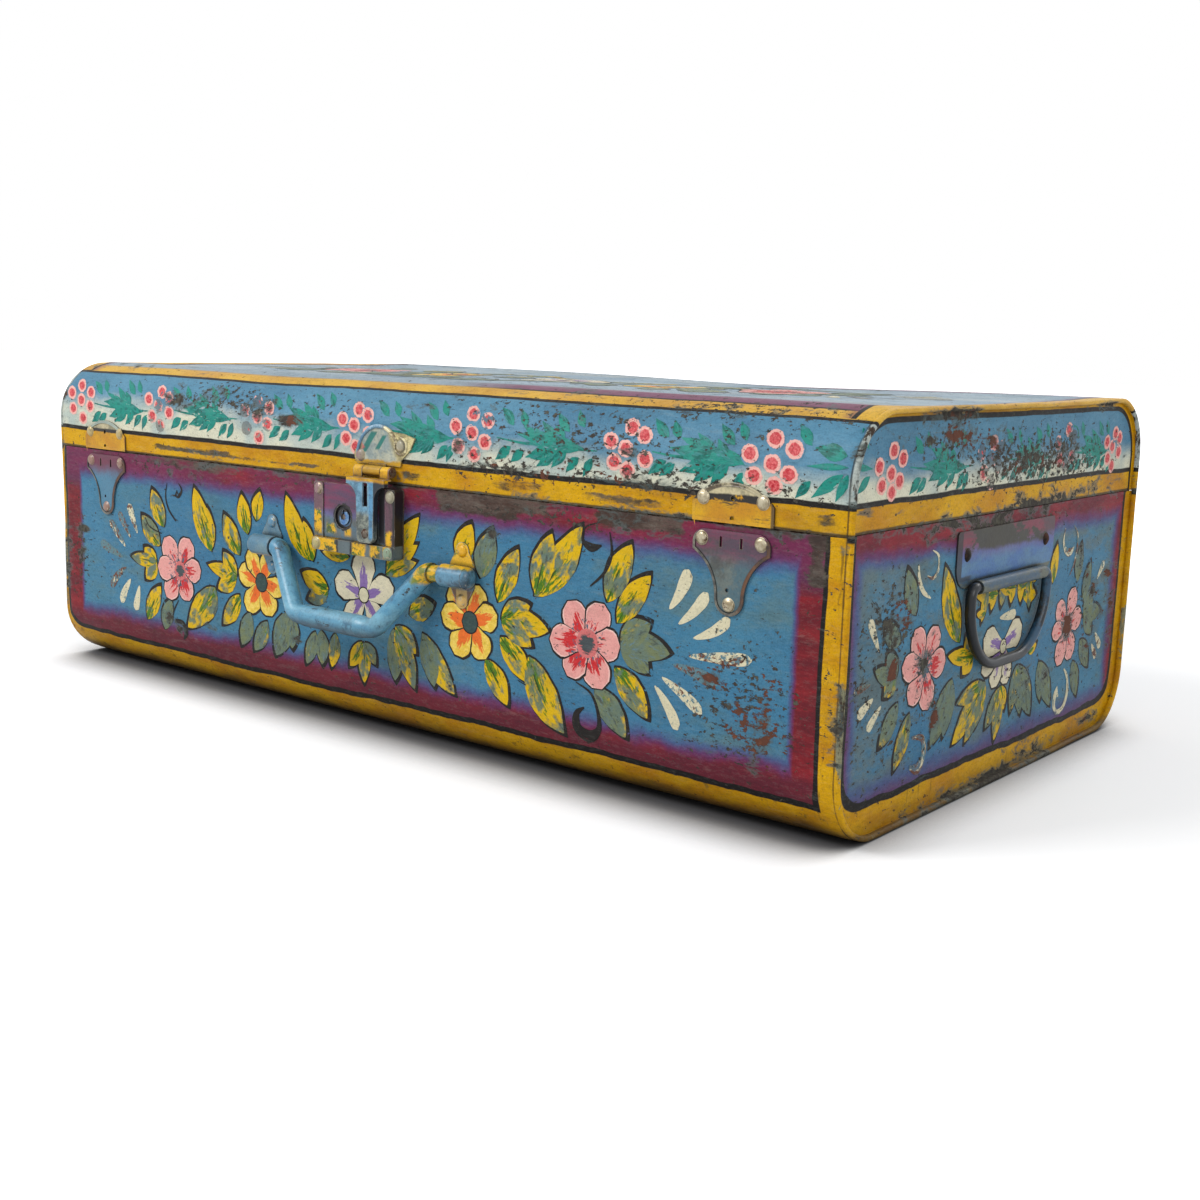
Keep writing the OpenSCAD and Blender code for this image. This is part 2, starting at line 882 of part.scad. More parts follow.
// Outline of the strap's face, drawn in by inset: shoulder, hollow sides, tapering strap
module strap_outline(inset) {
    half = shoulder_w / 2;
    hollow_z = shoulder_low - shoulder_hollow_r;
    foot_z = strap_foot_r - strap_len;
    difference() {
        translate([inset - half, hollow_z])
            square([shoulder_w - 2 * inset, shoulder_top - inset - hollow_z]);
        for (s = sides)
            translate([s * half, hollow_z])
                circle(shoulder_hollow_r + inset);
    }
    polygon([
        [inset - strap_w / 2, hollow_z],
        [strap_w / 2 - inset, hollow_z],
        [strap_foot_half - inset, foot_z],
        [inset - strap_foot_half, foot_z]
    ]);
    for (s = sides)
        translate([s * (strap_foot_half - strap_foot_r), foot_z])
            circle(strap_foot_r - inset);
    translate([strap_foot_r - strap_foot_half, inset - strap_len])
        square([2 * (strap_foot_half - strap_foot_r), strap_foot_r - inset]);
}

module hasp_strap() {
    leaf_out = hasp_axis_out + hasp_knuckle_r;
    color(blue)
        on_hasp()
            difference() {
                union() {
                    difference() {
                        translate([0, 0, strap_back])
                            linear_extrude(strap_depth)
                                strap_outline(0);
                        translate([0, 0, strap_back - over])
                            linear_extrude(strap_depth - strap_t + over)
                                strap_outline(strap_t);
                    }
                    translate([-shoulder_w / 2, shoulder_top - strap_t, leaf_out - strap_t])
                        cube([shoulder_w, strap_t, strap_out - leaf_out + strap_t]);
                    for (s = sides) {
                        x0 = s < 0 ? -hasp_knuckles_w / 2 : hasp_mid_w / 2 + knuckle_gap;
                        x1 = s < 0 ? -hasp_mid_w / 2 - knuckle_gap : hasp_knuckles_w / 2;
                        hasp_knuckle(x0, x1);
                        translate([x0, shoulder_top - strap_t, leaf_out - strap_t])
                            cube([x1 - x0, strap_t - shoulder_top, strap_t]);
                    }
                }
                hasp_pin_hole();
                translate([-slot_w / 2, slot_top - slot_h, strap_back])
                    cube([slot_w, slot_h, strap_depth + over]);
                translate([0, staple_z, strap_back])
                    cylinder(h = strap_depth + over, r = spigot_r + pin_fit);
            }
}

// Staple: a flat eye that the lock bolt passes through, peened to the strap
module hasp_staple() {
    inner = strap_out - strap_t;
    eye_gap = bolt_h / 2 + lock_clear;
    color(steel)
        on_hasp()
            translate([0, staple_z, 0]) {
                difference() {
                    translate([-staple_w / 2, -staple_half_h, staple_in])
                        cube([staple_w, 2 * staple_half_h, inner - staple_in]);
                    translate([-staple_w, -eye_gap, bolt_back - lock_clear])
                        cube([2 * staple_w, 2 * eye_gap, bolt_out - bolt_back + 2 * lock_clear]);
                }
                translate([-5, -staple_half_h, inner - 1.2])
                    cube([10, 2 * staple_half_h, 1.2]);
                translate([0, 0, inner - over])
                    cylinder(h = strap_t + over, r = spigot_r);
                translate([0, 0, strap_out])
                    intersection() {
                        translate([0, 0, -3])
                            sphere(4.6);
                        cylinder(h = 4, r = 3.4);
                    }
            }
}

// Bracket of the bail handle: a diamond plate with a closed barrel
module handle_bracket(side) {
    color(blue)
        on_front()
            translate([hardware_x + side * bracket_x, bail_z])
                difference() {
                    union() {
                        linear_extrude(plate_t) {
                            for (s = sides) {
                                translate([0, s * bracket_rivet_z])
                                    circle(ear_r);
                                polygon([
                                    [-ear_r, s * bracket_rivet_z],
                                    [ear_r, s * bracket_rivet_z],
                                    [bracket_w / 2, s * barrel_r],
                                    [-bracket_w / 2, s * barrel_r]
                                ]);
                            }
                            square([bracket_w, 2 * barrel_r], center = true);
                        }
                        translate([-bracket_w / 2, 0, barrel_r])
                            rotate([0, 90, 0])
                                cylinder(h = bracket_w, r = barrel_r);
                    }
                    translate([side > 0 ? -bracket_w / 2 - over : 2 - bracket_w / 2, 0, barrel_r])
                        rotate([0, 90, 0])
                            cylinder(h = bracket_w - 2 + over, r = bail_pivot_r + pin_fit);
                    rivet_holes([[0, -bracket_rivet_z], [0, bracket_rivet_z]]);
                }
}

module handle_rivets() {
    color(steel)
        on_front()
            for (side = sides, s = sides) {
                z = bail_z + s * bracket_rivet_z;
                translate([hardware_x + side * bracket_x, z, plate_t])
                    rivet(plate_t + backing(z));
            }
}

// A round rod along points in the XY plane, with a true bend at each inner point
function heading(p, i) = (p[i + 1] - p[i]) / norm(p[i + 1] - p[i]);
function turning(a, b) = atan2(a[0] * b[1] - a[1] * b[0], a * b);
function setback(p, bends, i) =
    i == 0 || i == len(p) - 1 ? 0 : bends[i] * tan(abs(turning(heading(p, i - 1), heading(p, i))) / 2);

module bent_rod(p, bends, r, weld) {
    for (i = [0 : len(p) - 2]) {
        d = heading(p, i);
        start = p[i] + d * setback(p, bends, i);
        reach = norm(p[i + 1] - p[i]) - setback(p, bends, i) - setback(p, bends, i + 1);
        if (reach > 0.01)
            translate([start[0], start[1], 0])
                rotate([0, 90, atan2(d[1], d[0])]) {
                    cylinder(h = reach, r = r);
                    if (weld > 0)
                        for (z = [0, reach])
                            translate([0, 0, z])
                                sphere(r + weld);
                }
    }
    for (i = [1 : len(p) - 2]) {
        d = heading(p, i - 1);
        turn = turning(d, heading(p, i));
        hand = turn > 0 ? 1 : -1;
        start = p[i] - d * setback(p, bends, i);
        centre = start + hand * bends[i] * [-d[1], d[0]];
        from = atan2(start[1] - centre[1], start[0] - centre[0]);
        translate([centre[0], centre[1], 0])
            rotate([0, 0, min(from, from + turn)])
                rotate_extrude(angle = abs(turn))
                    translate([bends[i], 0])
                        circle(r);
    }
}

// Bail handle: legs and elbows, thicker grip, and a stub pivot at each end
module bail_handle() {
    color(blue)
        on_front()
            translate([bail_mid, bail_z, barrel_r])
                rotate([-bail_lean, 0, 0]) {
                    bent_rod(
                        [
                            [-bail_elbow_x - elbow_set, 0], [-bail_elbow_x, 0],
                            [-corner_x, -bail_reach], [corner_x, -bail_reach],
                            [bail_elbow_x, 0], [bail_elbow_x + elbow_set, 0]
                        ],
                        [0, elbow_r, grip_bend_r, grip_bend_r, elbow_r, 0],
                        bail_leg_r,
                        weld
                    );
                    for (s = sides)
                        mirror([s < 0 ? 1 : 0, 0, 0]) {
                            translate([bail_elbow_x + 1, 0, 0])
                                rotate([0, 90, 0])
                                    cylinder(h = bail_end - bail_elbow_x - 1, r = bail_pivot_r);
                            translate([0, -bail_reach, 0])
                                rotate([0, 90, 0]) {
                                    cylinder(h = grip_half - grip_taper, r = bail_grip_r);
                                    translate([0, 0, grip_half - grip_taper])
                                        cylinder(h = grip_taper, r1 = bail_grip_r, r2 = bail_leg_r);
                                }
                        }
                }
}

// Plate of an end handle, with its lower edge rolled round the ring
module ring_plate(side) {
    color(blue)
        on_end(side)
            translate([0, ring_z])
                difference() {
                    union() {
                        linear_extrude(plate_t) {
                            translate([-ring_plate_w / 2, 0])
                                rounded(ring_plate_w, ring_plate_h, ring_plate_r);
                            translate([-ring_plate_w / 2, ring_plate_r])
                                rounded(ring_plate_w, ring_plate_h - ring_plate_r, 3);
                        }
                        translate([-roll_half, 0, ring_out])
                            rotate([0, 90, 0])
                                cylinder(h = 2 * roll_half, r = roll_r);
                    }
                    translate([-roll_half - over, 0, ring_out])
                        rotate([0, 90, 0])
                            cylinder(h = 2 * (roll_half + over), r = ring_rod_r + pin_fit);
                    rivet_holes(ring_rivets_at);
                }
}

module ring_rivets() {
    color(dark_steel)
        for (side = sides)
            on_end(side)
                for (p = ring_rivets_at)
                    translate([p[0], ring_z + p[1], plate_t])
                        rivet(plate_t + sheet_t);
}

// Drop ring: one rod bent into a D, closed inside the rolled edge
module side_ring(side) {
    color(dark_steel)
        on_end(side)
            translate([0, ring_z, ring_out])
                bent_rod(
                    [
                        [0, 0], [ring_half_w, 0], [ring_half_w, -ring_reach],
                        [-ring_half_w, -ring_reach], [-ring_half_w, 0], [0, 0]
                    ],
                    [0, ring_corner_r, ring_bend_r, ring_bend_r, ring_corner_r, 0],
                    ring_rod_r,
                    0
                );
}

body_wrap();
body_end(-1);  // body_end_left
body_end(1);  // body_end_right
body_rim();
lid_wrap();
lid_end(-1);  // lid_end_left
lid_end(1);  // lid_end_right
hinge_leaf_body(hinge_xs[1]);  // hinge_leaf_body_left
hinge_leaf_body(hinge_xs[0]);  // hinge_leaf_body_right
hinge_leaf_lid(hinge_xs[1]);  // hinge_leaf_lid_left
hinge_leaf_lid(hinge_xs[0]);  // hinge_leaf_lid_right
hinge_pin(hinge_xs[1]);  // hinge_pin_left
hinge_pin(hinge_xs[0]);  // hinge_pin_right
hinge_rivets_body();
hinge_rivets_lid();
catch_lower(catch_xs[0]);  // catch_lower_left
catch_lower(catch_xs[1]);  // catch_lower_right
catch_lower_rivets();
catch_upper(catch_xs[0]);  // catch_upper_left
catch_upper(catch_xs[1]);  // catch_upper_right
catch_upper_rivets();
lock_base();
lock_case();
lock_rivets();
lock_plug();
lock_bolt();
hasp_plate();
hasp_rivets();
hasp_pin();
hasp_strap();
hasp_staple();
handle_bracket(-1);  // handle_bracket_left
handle_bracket(1);  // handle_bracket_right
handle_rivets();
bail_handle();
ring_plate(-1);  // ring_plate_left
ring_plate(1);  // ring_plate_right
ring_rivets();
side_ring(-1);  // side_ring_left
side_ring(1);  // side_ring_right
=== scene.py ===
import math
import bpy
import bmesh
from mathutils import Matrix, Vector, noise


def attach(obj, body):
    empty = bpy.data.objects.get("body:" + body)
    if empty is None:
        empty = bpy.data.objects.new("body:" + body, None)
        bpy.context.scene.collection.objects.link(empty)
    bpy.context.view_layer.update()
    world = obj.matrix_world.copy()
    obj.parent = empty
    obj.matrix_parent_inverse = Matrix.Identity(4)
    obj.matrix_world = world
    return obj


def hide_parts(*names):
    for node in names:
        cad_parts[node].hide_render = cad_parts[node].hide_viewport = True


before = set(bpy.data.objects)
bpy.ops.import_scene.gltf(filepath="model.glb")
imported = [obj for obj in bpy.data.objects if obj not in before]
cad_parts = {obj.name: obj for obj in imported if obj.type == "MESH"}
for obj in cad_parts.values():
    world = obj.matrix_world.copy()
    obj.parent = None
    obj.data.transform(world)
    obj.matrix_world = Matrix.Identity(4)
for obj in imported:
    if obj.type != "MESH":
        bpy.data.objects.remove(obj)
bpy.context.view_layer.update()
scene = bpy.context.scene
MM = 0.001

# The trunk's own sizes, in metres, as in the part's source. The bends start BEND_Y from the middle,
# and the upper ones BEND_Z above the floor
DEPTH = 0.432
HEIGHT = 0.250
BODY_TOP = 0.180
LID_FOOT = 0.1805
BEND = 0.045
BEND_Y = 0.171
BEND_Z = 0.205
SHEET = 0.001
CREASE_X = 0.3764
PANEL_X = 0.3754
PANEL_INSET = 0.0036

# The upper bends again in millimetres, as paint is placed
FOLD_Y, FOLD_Z, FOLD = 171, 205, 45

# A point lies on an end beyond this x, on the lid above this z, and in front or behind beyond this y
END_FROM = 0.3745
LID_FROM = 0.1802
FRONT_FROM = 0.150


def srgb(r, g, b):
    """A paint colour given as 0 to 255 steps on a screen, turned to light."""
    def to_light(c):
        c = c / 255
        return c / 12.92 if c <= 0.04045 else ((c + 0.055) / 1.055) ** 2.4
    return (to_light(r), to_light(g), to_light(b), 1)


# The camera stands in front of the right end, a little above the lid
camera_data = bpy.data.cameras.new("camera")
camera = bpy.data.objects.new("camera", camera_data)
scene.collection.objects.link(camera)
camera_data.sensor_width = 36
camera_data.lens = 45.306
camera_data.clip_start = 0.05
camera_data.clip_end = 60
yaw, pitch, roll = math.radians(38.638), math.radians(9.884), math.radians(1.6625)
look = Vector((-math.sin(yaw) * math.cos(pitch), math.cos(yaw) * math.cos(pitch), -math.sin(pitch)))
turn = look.to_track_quat("-Z", "Y").to_matrix() @ Matrix.Rotation(roll, 3, "Z")
camera.matrix_world = Matrix.Translation((0.77673, -0.92732, 0.28311)) @ turn.to_4x4()
scene.camera = camera


# Paint colours
BLUE = srgb(66, 124, 154)
PERIWINKLE = srgb(72, 88, 130)
PURPLE = srgb(98, 50, 92)
MAROON = srgb(136, 32, 40)
MAROON_DARK = srgb(98, 28, 38)
YELLOW = srgb(208, 158, 0)
YELLOW_DEEP = srgb(186, 128, 2)
BLACK = srgb(26, 23, 22)
PRIMER = srgb(88, 102, 102)
DARK_METAL = srgb(58, 54, 50)
RUST = srgb(92, 58, 46)
RUST_BRIGHT = srgb(112, 70, 52)


class Value:
    """A number or colour in a finish's nodes, for use in plain sums."""

    def __init__(self, finish, socket):
        self.finish = finish
        self.socket = socket

    def __add__(self, other):
        return self.finish.math("ADD", self, other)

    def __radd__(self, other):
        return self.finish.math("ADD", other, self)

    def __sub__(self, number):
        return self.finish.math("ADD", self, -number)

    def __rsub__(self, other):
        return self.finish.math("SUBTRACT", other, self)

    def __mul__(self, other):
        return self.finish.math("MULTIPLY", self, other)

    def __abs__(self):
        return self.finish.math("ABSOLUTE", self)


class Finish:
    """A material and short words for its nodes."""

    def __init__(self, name):
        self.material = bpy.data.materials.new(name)
        self.material.use_nodes = True
        self.tree = self.material.node_tree
        self.tree.nodes.clear()
        self.shader = self.node("BsdfPrincipled")
        self.output = self.node("OutputMaterial", self.shader.outputs[0])
        self.place = self.node("TexCoord").outputs["Object"]
        self.kept = {}

    def node(self, kind, *values, **named):
        """A new node, with values for its first inputs, or for inputs by name."""
        n = self.tree.nodes.new("ShaderNode" + kind)
        for i, value in enumerate(values):
            self.put(n.inputs[i], value)
        for name, value in named.items():
            self.put(n.inputs[name], value)
        return n

    def put(self, socket, value):
        value = getattr(value, "socket", value)
        if isinstance(value, bpy.types.NodeSocket):
            self.tree.links.new(value, socket)
        elif value is not None:
            socket.default_value = value

    def math(self, kind, *values):
        n = self.node("Math", *values)
        n.operation = kind
        return Value(self, n.outputs[0])

    def high(self, *values):
        out = values[0]
        for v in values[1:]:
            out = self.math("MAXIMUM", out, v)
        return out

    def step(self, value, start, end):
        """0 up to start and 1 from end on, smooth between them. End may be the lower one."""
        n = self.node("MapRange", Value=value)
        n.interpolation_type = "SMOOTHSTEP"
        ends = (end, start, 1, 0) if start > end else (start, end)
        for name, v in zip(("From Min", "From Max", "To Min", "To Max"), ends):
            n.inputs[name].default_value = v
        return Value(self, n.outputs[0])

    def within(self, v, low, high, soft=1.5):
        """1 between low and high, 0 beyond them."""
        return self.step(v, low - soft, low + soft) * self.step(v, high + soft, high - soft)

    def mix(self, share, a, b, strength=None):
        """Colour a, with b over it where share is 1, at that strength."""
        if strength is not None:
            share = share * strength
        n = self.node("Mix")
        n.data_type = "RGBA"
        for i, value in ((0, share), (6, a), (7, b)):
            self.put(n.inputs[i], value)
        return Value(self, n.outputs[2])

    def reach(self, a, b):
        """How far a point lies from the middle, across a and up b."""
        return self.math("SQRT", a * a + b * b)

    def noise(self, scale, detail=3, rough=0.55, stretch=None, twist=0, at=None):
        key = (scale, detail, rough, stretch, twist, at is None)
        if key not in self.kept:
            where = self.place if at is None else at
            if stretch:
                where = self.node("Mapping", Scale=stretch, Vector=where).outputs[0]
            n = self.node(
                "TexNoise", Scale=scale, Detail=detail, Roughness=rough, Distortion=twist, Vector=where
            )
            self.kept[key] = Value(self, n.outputs[0])
        return self.kept[key]

    def parts(self, vector):
        """The three numbers of a place."""
        return [Value(self, o) for o in self.node("SeparateXYZ", vector).outputs]

    def axes(self):
        """Place on the trunk in millimetres: x, y, z."""
        if "axes" not in self.kept:
            self.kept["axes"] = [part * 1000 for part in self.parts(self.place)]
        return self.kept["axes"]

    def attribute(self, name):
        if name not in self.kept:
            self.kept[name] = self.node("Attribute")
            self.kept[name].attribute_name = name
        return self.kept[name]

    def worth(self, name):
        """An attribute's value: wear, specks or rust."""
        return Value(self, self.attribute(name).outputs["Fac"])

    def sway(self, amount, *grain):
        """Noise about zero."""
        return (self.noise(*grain) - 0.5) * amount

    def wobble(self, amount, scale):
        """A hand's unevenness: plus or minus amount, slow along the stroke."""
        return self.sway(amount * 3.2, scale, 2, 0.5)

    def mottled(self, a, b, start, end, *grain):
        """Two colours in patches: a where the noise is low, b where it's high."""
        return self.mix(self.step(self.noise(*grain), start, end), a, b)

    def edges(self, radius):
        """1 on sharp outer edges, 0 on flat faces."""
        bevel = self.node("Bevel", radius)
        bevel.samples = 6
        dot = self.node("VectorMath", bevel.outputs[0], self.node("NewGeometry").outputs["Normal"])
        dot.operation = "DOT_PRODUCT"
        return self.step(dot.outputs["Value"], 0.985, 0.86)

    def openness(self, reach, samples=6):
        """1 in the open, lower in corners and beside other pieces within reach."""
        near = self.node("AmbientOcclusion", Distance=reach)
        near.samples = samples
        return Value(self, near.outputs["AO"])

    def finish(self, colour, roughness, height, depth, metallic=0, shine=0.13):
        inputs = self.shader.inputs
        self.put(inputs["Base Color"], colour)
        self.put(inputs["Roughness"], roughness)
        self.put(inputs["Metallic"], metallic)
        inputs["Specular IOR Level"].default_value = shine
        bump = self.node("Bump", Strength=1, Distance=depth, Height=height)
        self.put(inputs["Normal"], bump.outputs[0])
        return self.material


def worn(f, colour, wear, gloss=0.42, grain=1):
    """Old enamel over dark sheet: rubbed film, chips, specks, scratches and dirt."""
    specks = f.worth("specks")
    slow = f.noise(13, 3, 0.6)
    patch = f.noise(88, 6, 0.70, (0.55, 0.55, 1.2), 0.5)
    fine = f.noise(330, 4, 0.65, (0.6, 0.6, 1.1))
    scratch = f.noise(52, 5, 0.75, (0.5, 0.5, 7))
    level = wear * 0.44 + slow * 0.10 + (fine - 0.5) * 0.10
    rubbed = f.step(patch + level, 0.75, 0.85)
    chip = f.step(patch + level, 0.865, 0.885)
    dots = f.step(fine + specks * 0.17, 0.675, 0.70)
    pits = f.step(f.noise(150, 4, 0.7) + specks * 0.15, 0.705, 0.73)
    lines = f.step(scratch + (wear * 0.16 + specks * 0.05), 0.745, 0.775)
    bare = f.high(chip, dots, pits, lines * 0.75)
    rusty = f.noise(38, 4, 0.6) + f.worth("rust") * 0.30
    metal = f.mottled(DARK_METAL, srgb(82, 80, 70), 0.4, 0.7, 300, 3)
    metal = f.mix(f.step(rusty, 0.62, 0.70), metal, f.mottled(RUST, RUST_BRIGHT, 0.52, 0.75, 240, 3))
    dirt = f.noise(24, 5, 0.72, (0.6, 0.6, 1.5))
    grit = f.noise(950, 2, 0.6)
    colour = f.mix(f.step(dirt, 0.47, 0.80) * (0.34 * grain), colour, srgb(54, 56, 50))
    colour = f.mix(f.step(grit, 0.40, 0.75) * (0.22 * grain), colour, srgb(24, 28, 32))
    mottle = f.noise(400, 5, 0.8, (0.45, 0.45, 1.3))
    colour = f.mix(
        f.step(mottle, 0.50, 0.62) * (0.14 * grain), colour, f.mix(0.30, colour, srgb(178, 190, 180))
    )
    colour = f.mix(f.step(mottle, 0.48, 0.38) * (0.18 * grain), colour, srgb(34, 40, 40))
    pale = f.step(f.noise(64, 6, 0.75, (0.5, 0.5, 3)), 0.56, 0.70)
    colour = f.mix(pale * (0.34 * grain), colour, f.mix(0.22, colour, srgb(196, 200, 186)))
    colour = f.mix(rubbed, colour, f.mix(fine, PRIMER, srgb(70, 76, 72)), 0.72)
    colour = f.mix(bare, colour, metal)
    roughness = bare * 0.30 + f.step(dirt, 0.3, 0.8) * 0.16 + gloss
    height = f.noise(700, 2) * 0.14 + f.high(chip, dots, pits) * -0.75
    height = height + f.noise(160, 3, 0.5, (1, 1, 3)) * 0.35
    return colour, roughness, height


def worn_bead(f, colour, low, high, share, pale):
    """The rolled edge beyond the crease, rubbed to grey and brown, most between low and high."""
    x, y, z = f.axes()
    on_bead = f.step(abs(x), 376.4, 377)
    chips = f.noise(60, 6, 0.74, (1, 1, 0.5))
    level = chips + f.within(z, low, high, 5) * share
    tone = f.mottled(srgb(58, 46, 36), pale, 0.42, 0.50, 105, 5, 0.72, (1.3, 1.3, 0.45))
    colour = f.mix(on_bead * f.step(level, 0.60, 0.64), colour, tone)
    # A dark line along the crease: dirt in the groove, and painted shade there.
    crease_dirt_and_shade = f.step(abs(abs(x) - 376.3) + f.noise(40, 5, 0.75) * 1.7, 1.5, 0.9)
    return f.mix(crease_dirt_and_shade, colour, srgb(52, 42, 28), 0.8)


# Strips brushed down to dark metal: from, to, low, high, how much
LID_SCRAPED = (
    (-252, -150, 185, 190, 0.38), (-160, -50, 184.5, 188, 0.36), (30, 54, 184, 190, 0.30),
    (88, 164, 184.5, 192, 0.27),
    (188, 256, 184, 190, 0.31), (352, 374, 184, 192, 0.30), (60, 372, 238, 246, 0.22),
    (-330, -40, 237, 243, 0.10),
)
SCRAPED = (
    (-345, -300, 170, 178, 0.24), (-262, -130, 171, 180, 0.30), (-125, -62, 175, 180, 0.26),
    (66, 140, 165, 180, 0.40),
    (128, 168, 170, 180, 0.34), (198, 275, 170, 180, 0.36), (296, 352, 173, 180, 0.34),
    (352, 366, 151, 180, 0.46),
    (-374, -352, 86, 112, 0.20), (-70, 60, 177, 180, 0.28),
)


def scraped_strip(f, colour, strips):
    """Dark metal where the strips were rubbed bare."""
    x, y, z = f.axes()
    brush = f.noise(24, 6, 0.78, (0.45, 1, 1.9)) * 0.8 + f.noise(170, 4, 0.7) * 0.2
    sway = f.sway(22, 44, 5, 0.75)
    most = None
    for a, b, low, high, much in strips:
        on_body = low < 183
        up = f.within(z + sway * 0.30, low, high + (4 if on_body else 0), 3.6 if on_body else 1.6)
        box = f.within(x + sway, a, b, 9) * up * much
        most = box if most is None else f.high(most, box)
    share = f.step(brush + most, 0.72, 0.86)
    tone = f.mottled(srgb(56, 50, 40), srgb(88, 80, 70), 0.42, 0.60, 46, 6, 0.76, (0.45, 1, 1.8))
    return f.mix(share * 0.9 * f.step(most, 0.02, 0.10), colour, tone)


def pale_top(f):
    """The rubbed pale paint of the lid's top."""
    top = f.mottled(srgb(150, 170, 182), srgb(120, 146, 164), 0.35, 0.65, 8, 5, 0.65)
    top = f.mix(f.step(f.noise(30, 6, 0.75, (0.4, 1.6, 1)), 0.46, 0.64), top, srgb(176, 182, 178), 0.65)
    return f.mix(f.step(f.noise(18, 5, 0.7, (0.5, 1.4, 1)), 0.54, 0.72), top, srgb(104, 112, 112), 0.5)


def body_field(f, end):
    """The body's colours: blue field, airbrushed maroon border, black line and yellow edge."""
    x, y, z = f.axes()
    along = y if end else x
    wob = f.wobble(1.3, 11) + f.wobble(0.5, 70)
    cloud = f.sway(12, 26, 4, 0.6)
    haze = f.sway(9, 60, 5, 0.7)
    if end:
        far = f.step(y + cloud + haze, 178, 202)
        near = f.step(y + cloud * 0.6 + haze, -186, -206)
        side = f.high(far, near * 0.72)
        top = f.step(z + cloud + haze, 152, 173) * 0.95
        foot = f.step(z + cloud + haze, 44, 20) * 0.62
    else:
        side = f.step(abs(x + 2.5) + haze * 0.35, 345, 353.5)
        top = f.step(z + cloud + haze, 149, 172)
        foot = f.step(z + cloud + haze, 58, 36)
    border = f.high(side, top, foot)
    blue = f.mottled(BLUE, srgb(58, 112, 146), 0.35, 0.7, 7, 4, 0.6)
    blue = f.mix(f.step(f.noise(120, 5, 0.7, (1, 1, 2.5)), 0.5, 0.8), blue, srgb(88, 134, 150), 0.5)
    blue = f.mix(f.step(f.noise(16, 3, 0.6, (0.6, 0.6, 1.4)), 0.5, 0.72), blue, srgb(76, 116, 128), 0.6)
    if end:
        film_of_dust = f.noise(22, 6, 0.76, (1, 0.6, 1.3)) + f.within(y, -215, -125, 25) * 0.09
        blue = f.mix(f.step(film_of_dust, 0.47, 0.66), blue, srgb(96, 108, 104), 0.75)
    else:
        dull = f.noise(14, 6, 0.75, (0.6, 1, 1.2)) + f.step(x, 220, 330) * 0.06
        blue = f.mix(f.step(dull, 0.50, 0.68), blue, srgb(92, 118, 116), 0.6)
    violet = f.mix(f.step(border, 0.05, 0.45), blue, PERIWINKLE)
    violet = f.mix(f.step(border, 0.35, 0.75), violet, PURPLE)
    deep = f.mottled(MAROON, MAROON_DARK, 0.35, 0.65, 17, 4, 0.65, (1, 1, 4))
    dusk = f.step(z + cloud, 144, 158) * f.step(abs(along), 280, 330)
    if not end:
        deep = f.mix(dusk, deep, srgb(78, 46, 72))
        deep = f.mix(f.step(z, 50, 34), deep, srgb(92, 36, 52), 0.65)
        rosy = f.step(z, 148, 162)
        deep = f.mix(rosy * f.step(f.noise(15, 5, 0.7, (0.5, 1, 1.6)), 0.30, 0.60), deep, srgb(112, 40, 74))
    colour = f.mix(f.step(border, 0.66, 1), violet, deep)
    low_z = z + wob * -0.8
    if end:
        left = y * -1 - 205.5
        right = y - 203.5
        foot_line = 19 - low_z
        frame_at = f.math("SMOOTH_MAX", left, foot_line, 42)
        frame_at = f.math("SMOOTH_MAX", frame_at, f.math("SMOOTH_MAX", right, foot_line, 42), 0.5)
        line = 3.5 + f.step(z, 40, 24) * 1.1
    else:
        left = x * -1 - 375.8
        foot_line = 24 - low_z
        frame_at = f.high(f.math("SMOOTH_MAX", left, foot_line, 26), x - 366)
        line = 2.9 + f.step(z, 40, 30) * 1.3
    frame_at = frame_at + wob
    black = f.step(frame_at + line, -0.3, 0.3)
    colour = f.mix(black, colour, BLACK)
    gold = f.mottled(YELLOW, YELLOW_DEEP, 0.38, 0.66, 19, 4, 0.6, (1, 1, 2))
    gold = f.mottled(gold, srgb(150, 112, 20), 0.60, 0.68, 60, 4, 0.7, (4, 4, 0.4) if end else (3, 3, 0.4))
    # The yellow darkens towards the floor: painted shade of the underside, and soiling.
    soil_and_underside_shade = f.step(z + f.sway(16, 26, 5, 0.7), 17, 5)
    gold = f.mix(
        soil_and_underside_shade * (0.35 if end else 0.85), gold, f.mix(f.noise(60, 4), srgb(84, 62, 30), srgb(56, 46, 34))
    )
    colour = f.mix(f.step(frame_at, -0.3, 0.3), colour, gold)
    if not end:
        colour = scraped_strip(f, colour, SCRAPED)
        colour = worn_bead(f, colour, 40, 98, 0.12, srgb(134, 132, 104))
        # Near black at the top of the rolled edge, where lid and body meet: painted shade of the gap.
        mouth = f.step(z, 176.6, 178) * f.step(abs(x), 375.6, 377)
        colour = f.mix(mouth, colour, srgb(24, 20, 18))
    return colour


